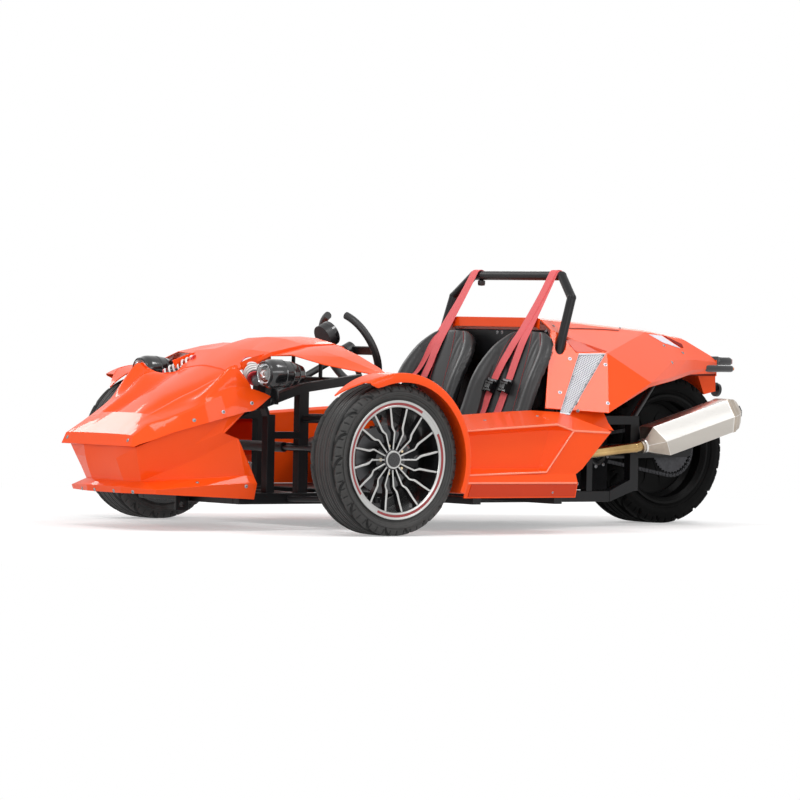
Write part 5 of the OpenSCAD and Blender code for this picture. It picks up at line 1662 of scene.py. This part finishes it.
def add_skirts():
    """Filler panels between the flanks and the side pods, and the hood's side walls."""
    bm = bmesh.new()
    cheek = [seen_on_plane(px, py, AXES[1] * CHEEK_Y, AXES[1]) for px, py in CHEEK]
    for outline in ([at(*p) for p in SKIRT], cheek):
        add_plate(bm, outline, AXES[1] * -PANEL_THICK)
    place_mesh("flank_skirts", mirrored_into(bm), paint, "chassis", (), 30)


def add_engine_bolts():
    """Bright bolts round the engine's covers, and a raised ring on one of them."""
    low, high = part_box("engine")
    spots = []
    cover = Vector((low[0] + 0.070, 0.244, 0.300))
    for k in range(8):
        a = 2 * math.pi * k / 8 + 0.2
        spots.append((cover + Vector((0.052 * math.cos(a), 0.0005, 0.052 * math.sin(a))),
                      Vector((0, 1, 0))))
    for x in np.linspace(low[0] + 0.16, high[0] - 0.05, 5):
        for side in (1, -1):
            for z in (0.375, 0.175):
                spots.append((Vector((x, side * 0.2205, z)), Vector((0, side, 0))))
    add_bolts("engine_bolts", spots)
    ring = bmesh.new()
    turned(((0.030, 0.0), (0.036, 0.003), (0.044, 0.003), (0.047, 0.0)), 48, cover, (0, 1, 0), ring, True)
    turned(((0.0, 0.004), (0.018, 0.004), (0.021, 0.0)), 36, cover, (0, 1, 0), ring)
    place_mesh("engine_cover_ring", ring, engine_gloss, "chassis", (), 30)


def add_rear_web():
    """The closed web inside the rear rim, and its hub bolts."""
    middle = (REAR_AXLE_X, 0, REAR_R)
    web = spin(((0.020, 0.014), (0.120, 0.010), (0.196, 0.016), (0.196, -0.016), (0.120, -0.010),
                (0.020, -0.014)), 96, middle, 1)
    place_mesh("rim_rear_web", web, rear_rim_black_painted_shade, "wheel_rear", (), 30)
    spots = []
    for k in range(5):
        a = 2 * math.pi * k / 5
        for side in (1, -1):
            reach = Vector((0.024 * math.cos(a), side * 0.0603, 0.024 * math.sin(a)))
            spots.append((Vector(middle) + reach, Vector((0, side, 0))))
    add_bolts("rear_hub_bolts", spots, "wheel_rear")


def add_hoop_details():
    """Collars at the hoop's feet and a knob under its bar."""
    bm = bmesh.new()
    lean = Vector((-0.31, 0, 1)).normalized()
    for side in (1, -1):
        foot = at(-1.115 - 0.045 * 0.31, side * 0.420, 0.545)
        turned(((0.0195, 0.0), (0.0245, 0.001), (0.0245, 0.014), (0.0195, 0.015)), 40, foot, lean, bm, True)
    bar = at(HOOP_BAR[0], -0.245, HOOP_BAR[1])
    turned(((0.0, -0.044), (0.014, -0.042), (0.016, -0.034), (0.016, -0.022), (0.008, -0.0185),
            (0.0, -0.018)), 28, bar, (0, 0, 1), bm)
    place_mesh("hoop_collars", bm, satin_black, "chassis", (), 30)


add_camera()
add_stage()
for label, place, aim, size, power in (
        ("flank_softbox", (-2.2, 3.0, 5.5), (-1.25, 0.57, 0.6), (1.7, 1.4), 92),
        ("shoulder_softbox", (2.4, 1.45, 5.5), (0.5, 0.32, 0.5), (1.8, 1.4), 84),
        ("visor_softbox", (0.10, -5.97, 4.05), (0.7, 0.0, 0.45), (1.6, 1.3), 60),
        ("near_side_softbox", (-1.0, 6.0, 2.3), (-0.5, 0.4, 0.5), (4.6, 1.1), 58),
        ("front_softbox", (5.2, 2.6, 1.7), (-0.6, 0.4, 0.5), (2.0, 1.4), 60),
        ("far_softbox", (-4.6, -3.7, 2.3), (-0.9, 0.7, 0.46), (2.4, 1.3), 30)):
    add_softbox(label, at(*place), at(*aim), size, power)

panels = {}
for panel in ("nose_lower", "hood", "cowl_wings", "front_fenders", "side_pods", "engine_cover",
              "rear_panels", "tail_bracket"):
    panels[panel] = soften(panel, paint, width=0.0022, angle_deg=14)
panels["nose_upper"] = add_nose()
for tube in ("frame_rails", "frame_crossmembers", "upper_crossmembers", "front_frame", "rear_frame",
             "floor_pan", "firewall"):
    panels[tube] = soften(tube, frame_black, width=0.004)
for node, mat, slot in (("engine", engine_black, "black_engine"), ("swingarm", frame_black, "black_frame"),
                        ("steering_column", plastic, "black_plastic"),
                        ("rack_housing", satin_black, "machined_rim"),
                        ("pedals", machined, "machined_rim")):
    soften(node, mat, width=0.003)
for side in ("left", "right"):
    soften("knuckle_" + side, frame_black, "knuckle_" + side, width=0.002)
PLAIN = {
    frame_black: ("roll_hoop", "front_arms"),
    rear_rim_black_painted_shade: ("rim_rear",),
    disc_steel: ("disc_front_left", "disc_front_right", "rack_bar"),
    chain_steel: ("rear_hub",),
    pipe_tint: ("exhaust_pipe",),
    plastic: ("instrument_pod", "steering_wheel"),
}
for mat, names in PLAIN.items():
    for name in names:
        paint_node(name, mat)

for side, outward in (("left", 1), ("right", -1)):
    add_tyre("tyre_front_" + side, "wheel_front_" + side, (FRONT_AXLE_X, outward * HALF_TRACK, FRONT_R),
             FRONT_R,
             FRONT_TYRE_WIDTH, outward)
    add_front_rim(side, outward)
add_tyre("tyre_rear", "wheel_rear", (REAR_AXLE_X, 0, REAR_R), REAR_R, REAR_TYRE_WIDTH, 1)
trees = add_seats()
add_harness(trees)
add_headlamps()
add_springs()
add_grilles()
add_screws(panels)
body_trees = [tree_of(panels[name].data) for name in ("engine_cover", "rear_panels", "nose_upper",
                                                      "nose_lower", "hood", "side_pods")]
add_gaps(body_trees)
add_facets(body_trees)
add_folds(body_trees)
add_fender_lips()
add_skirts()
add_chain()
add_silencer()
add_gauge()
add_tail()
add_engine_bolts()
add_rear_web()
add_hoop_details()
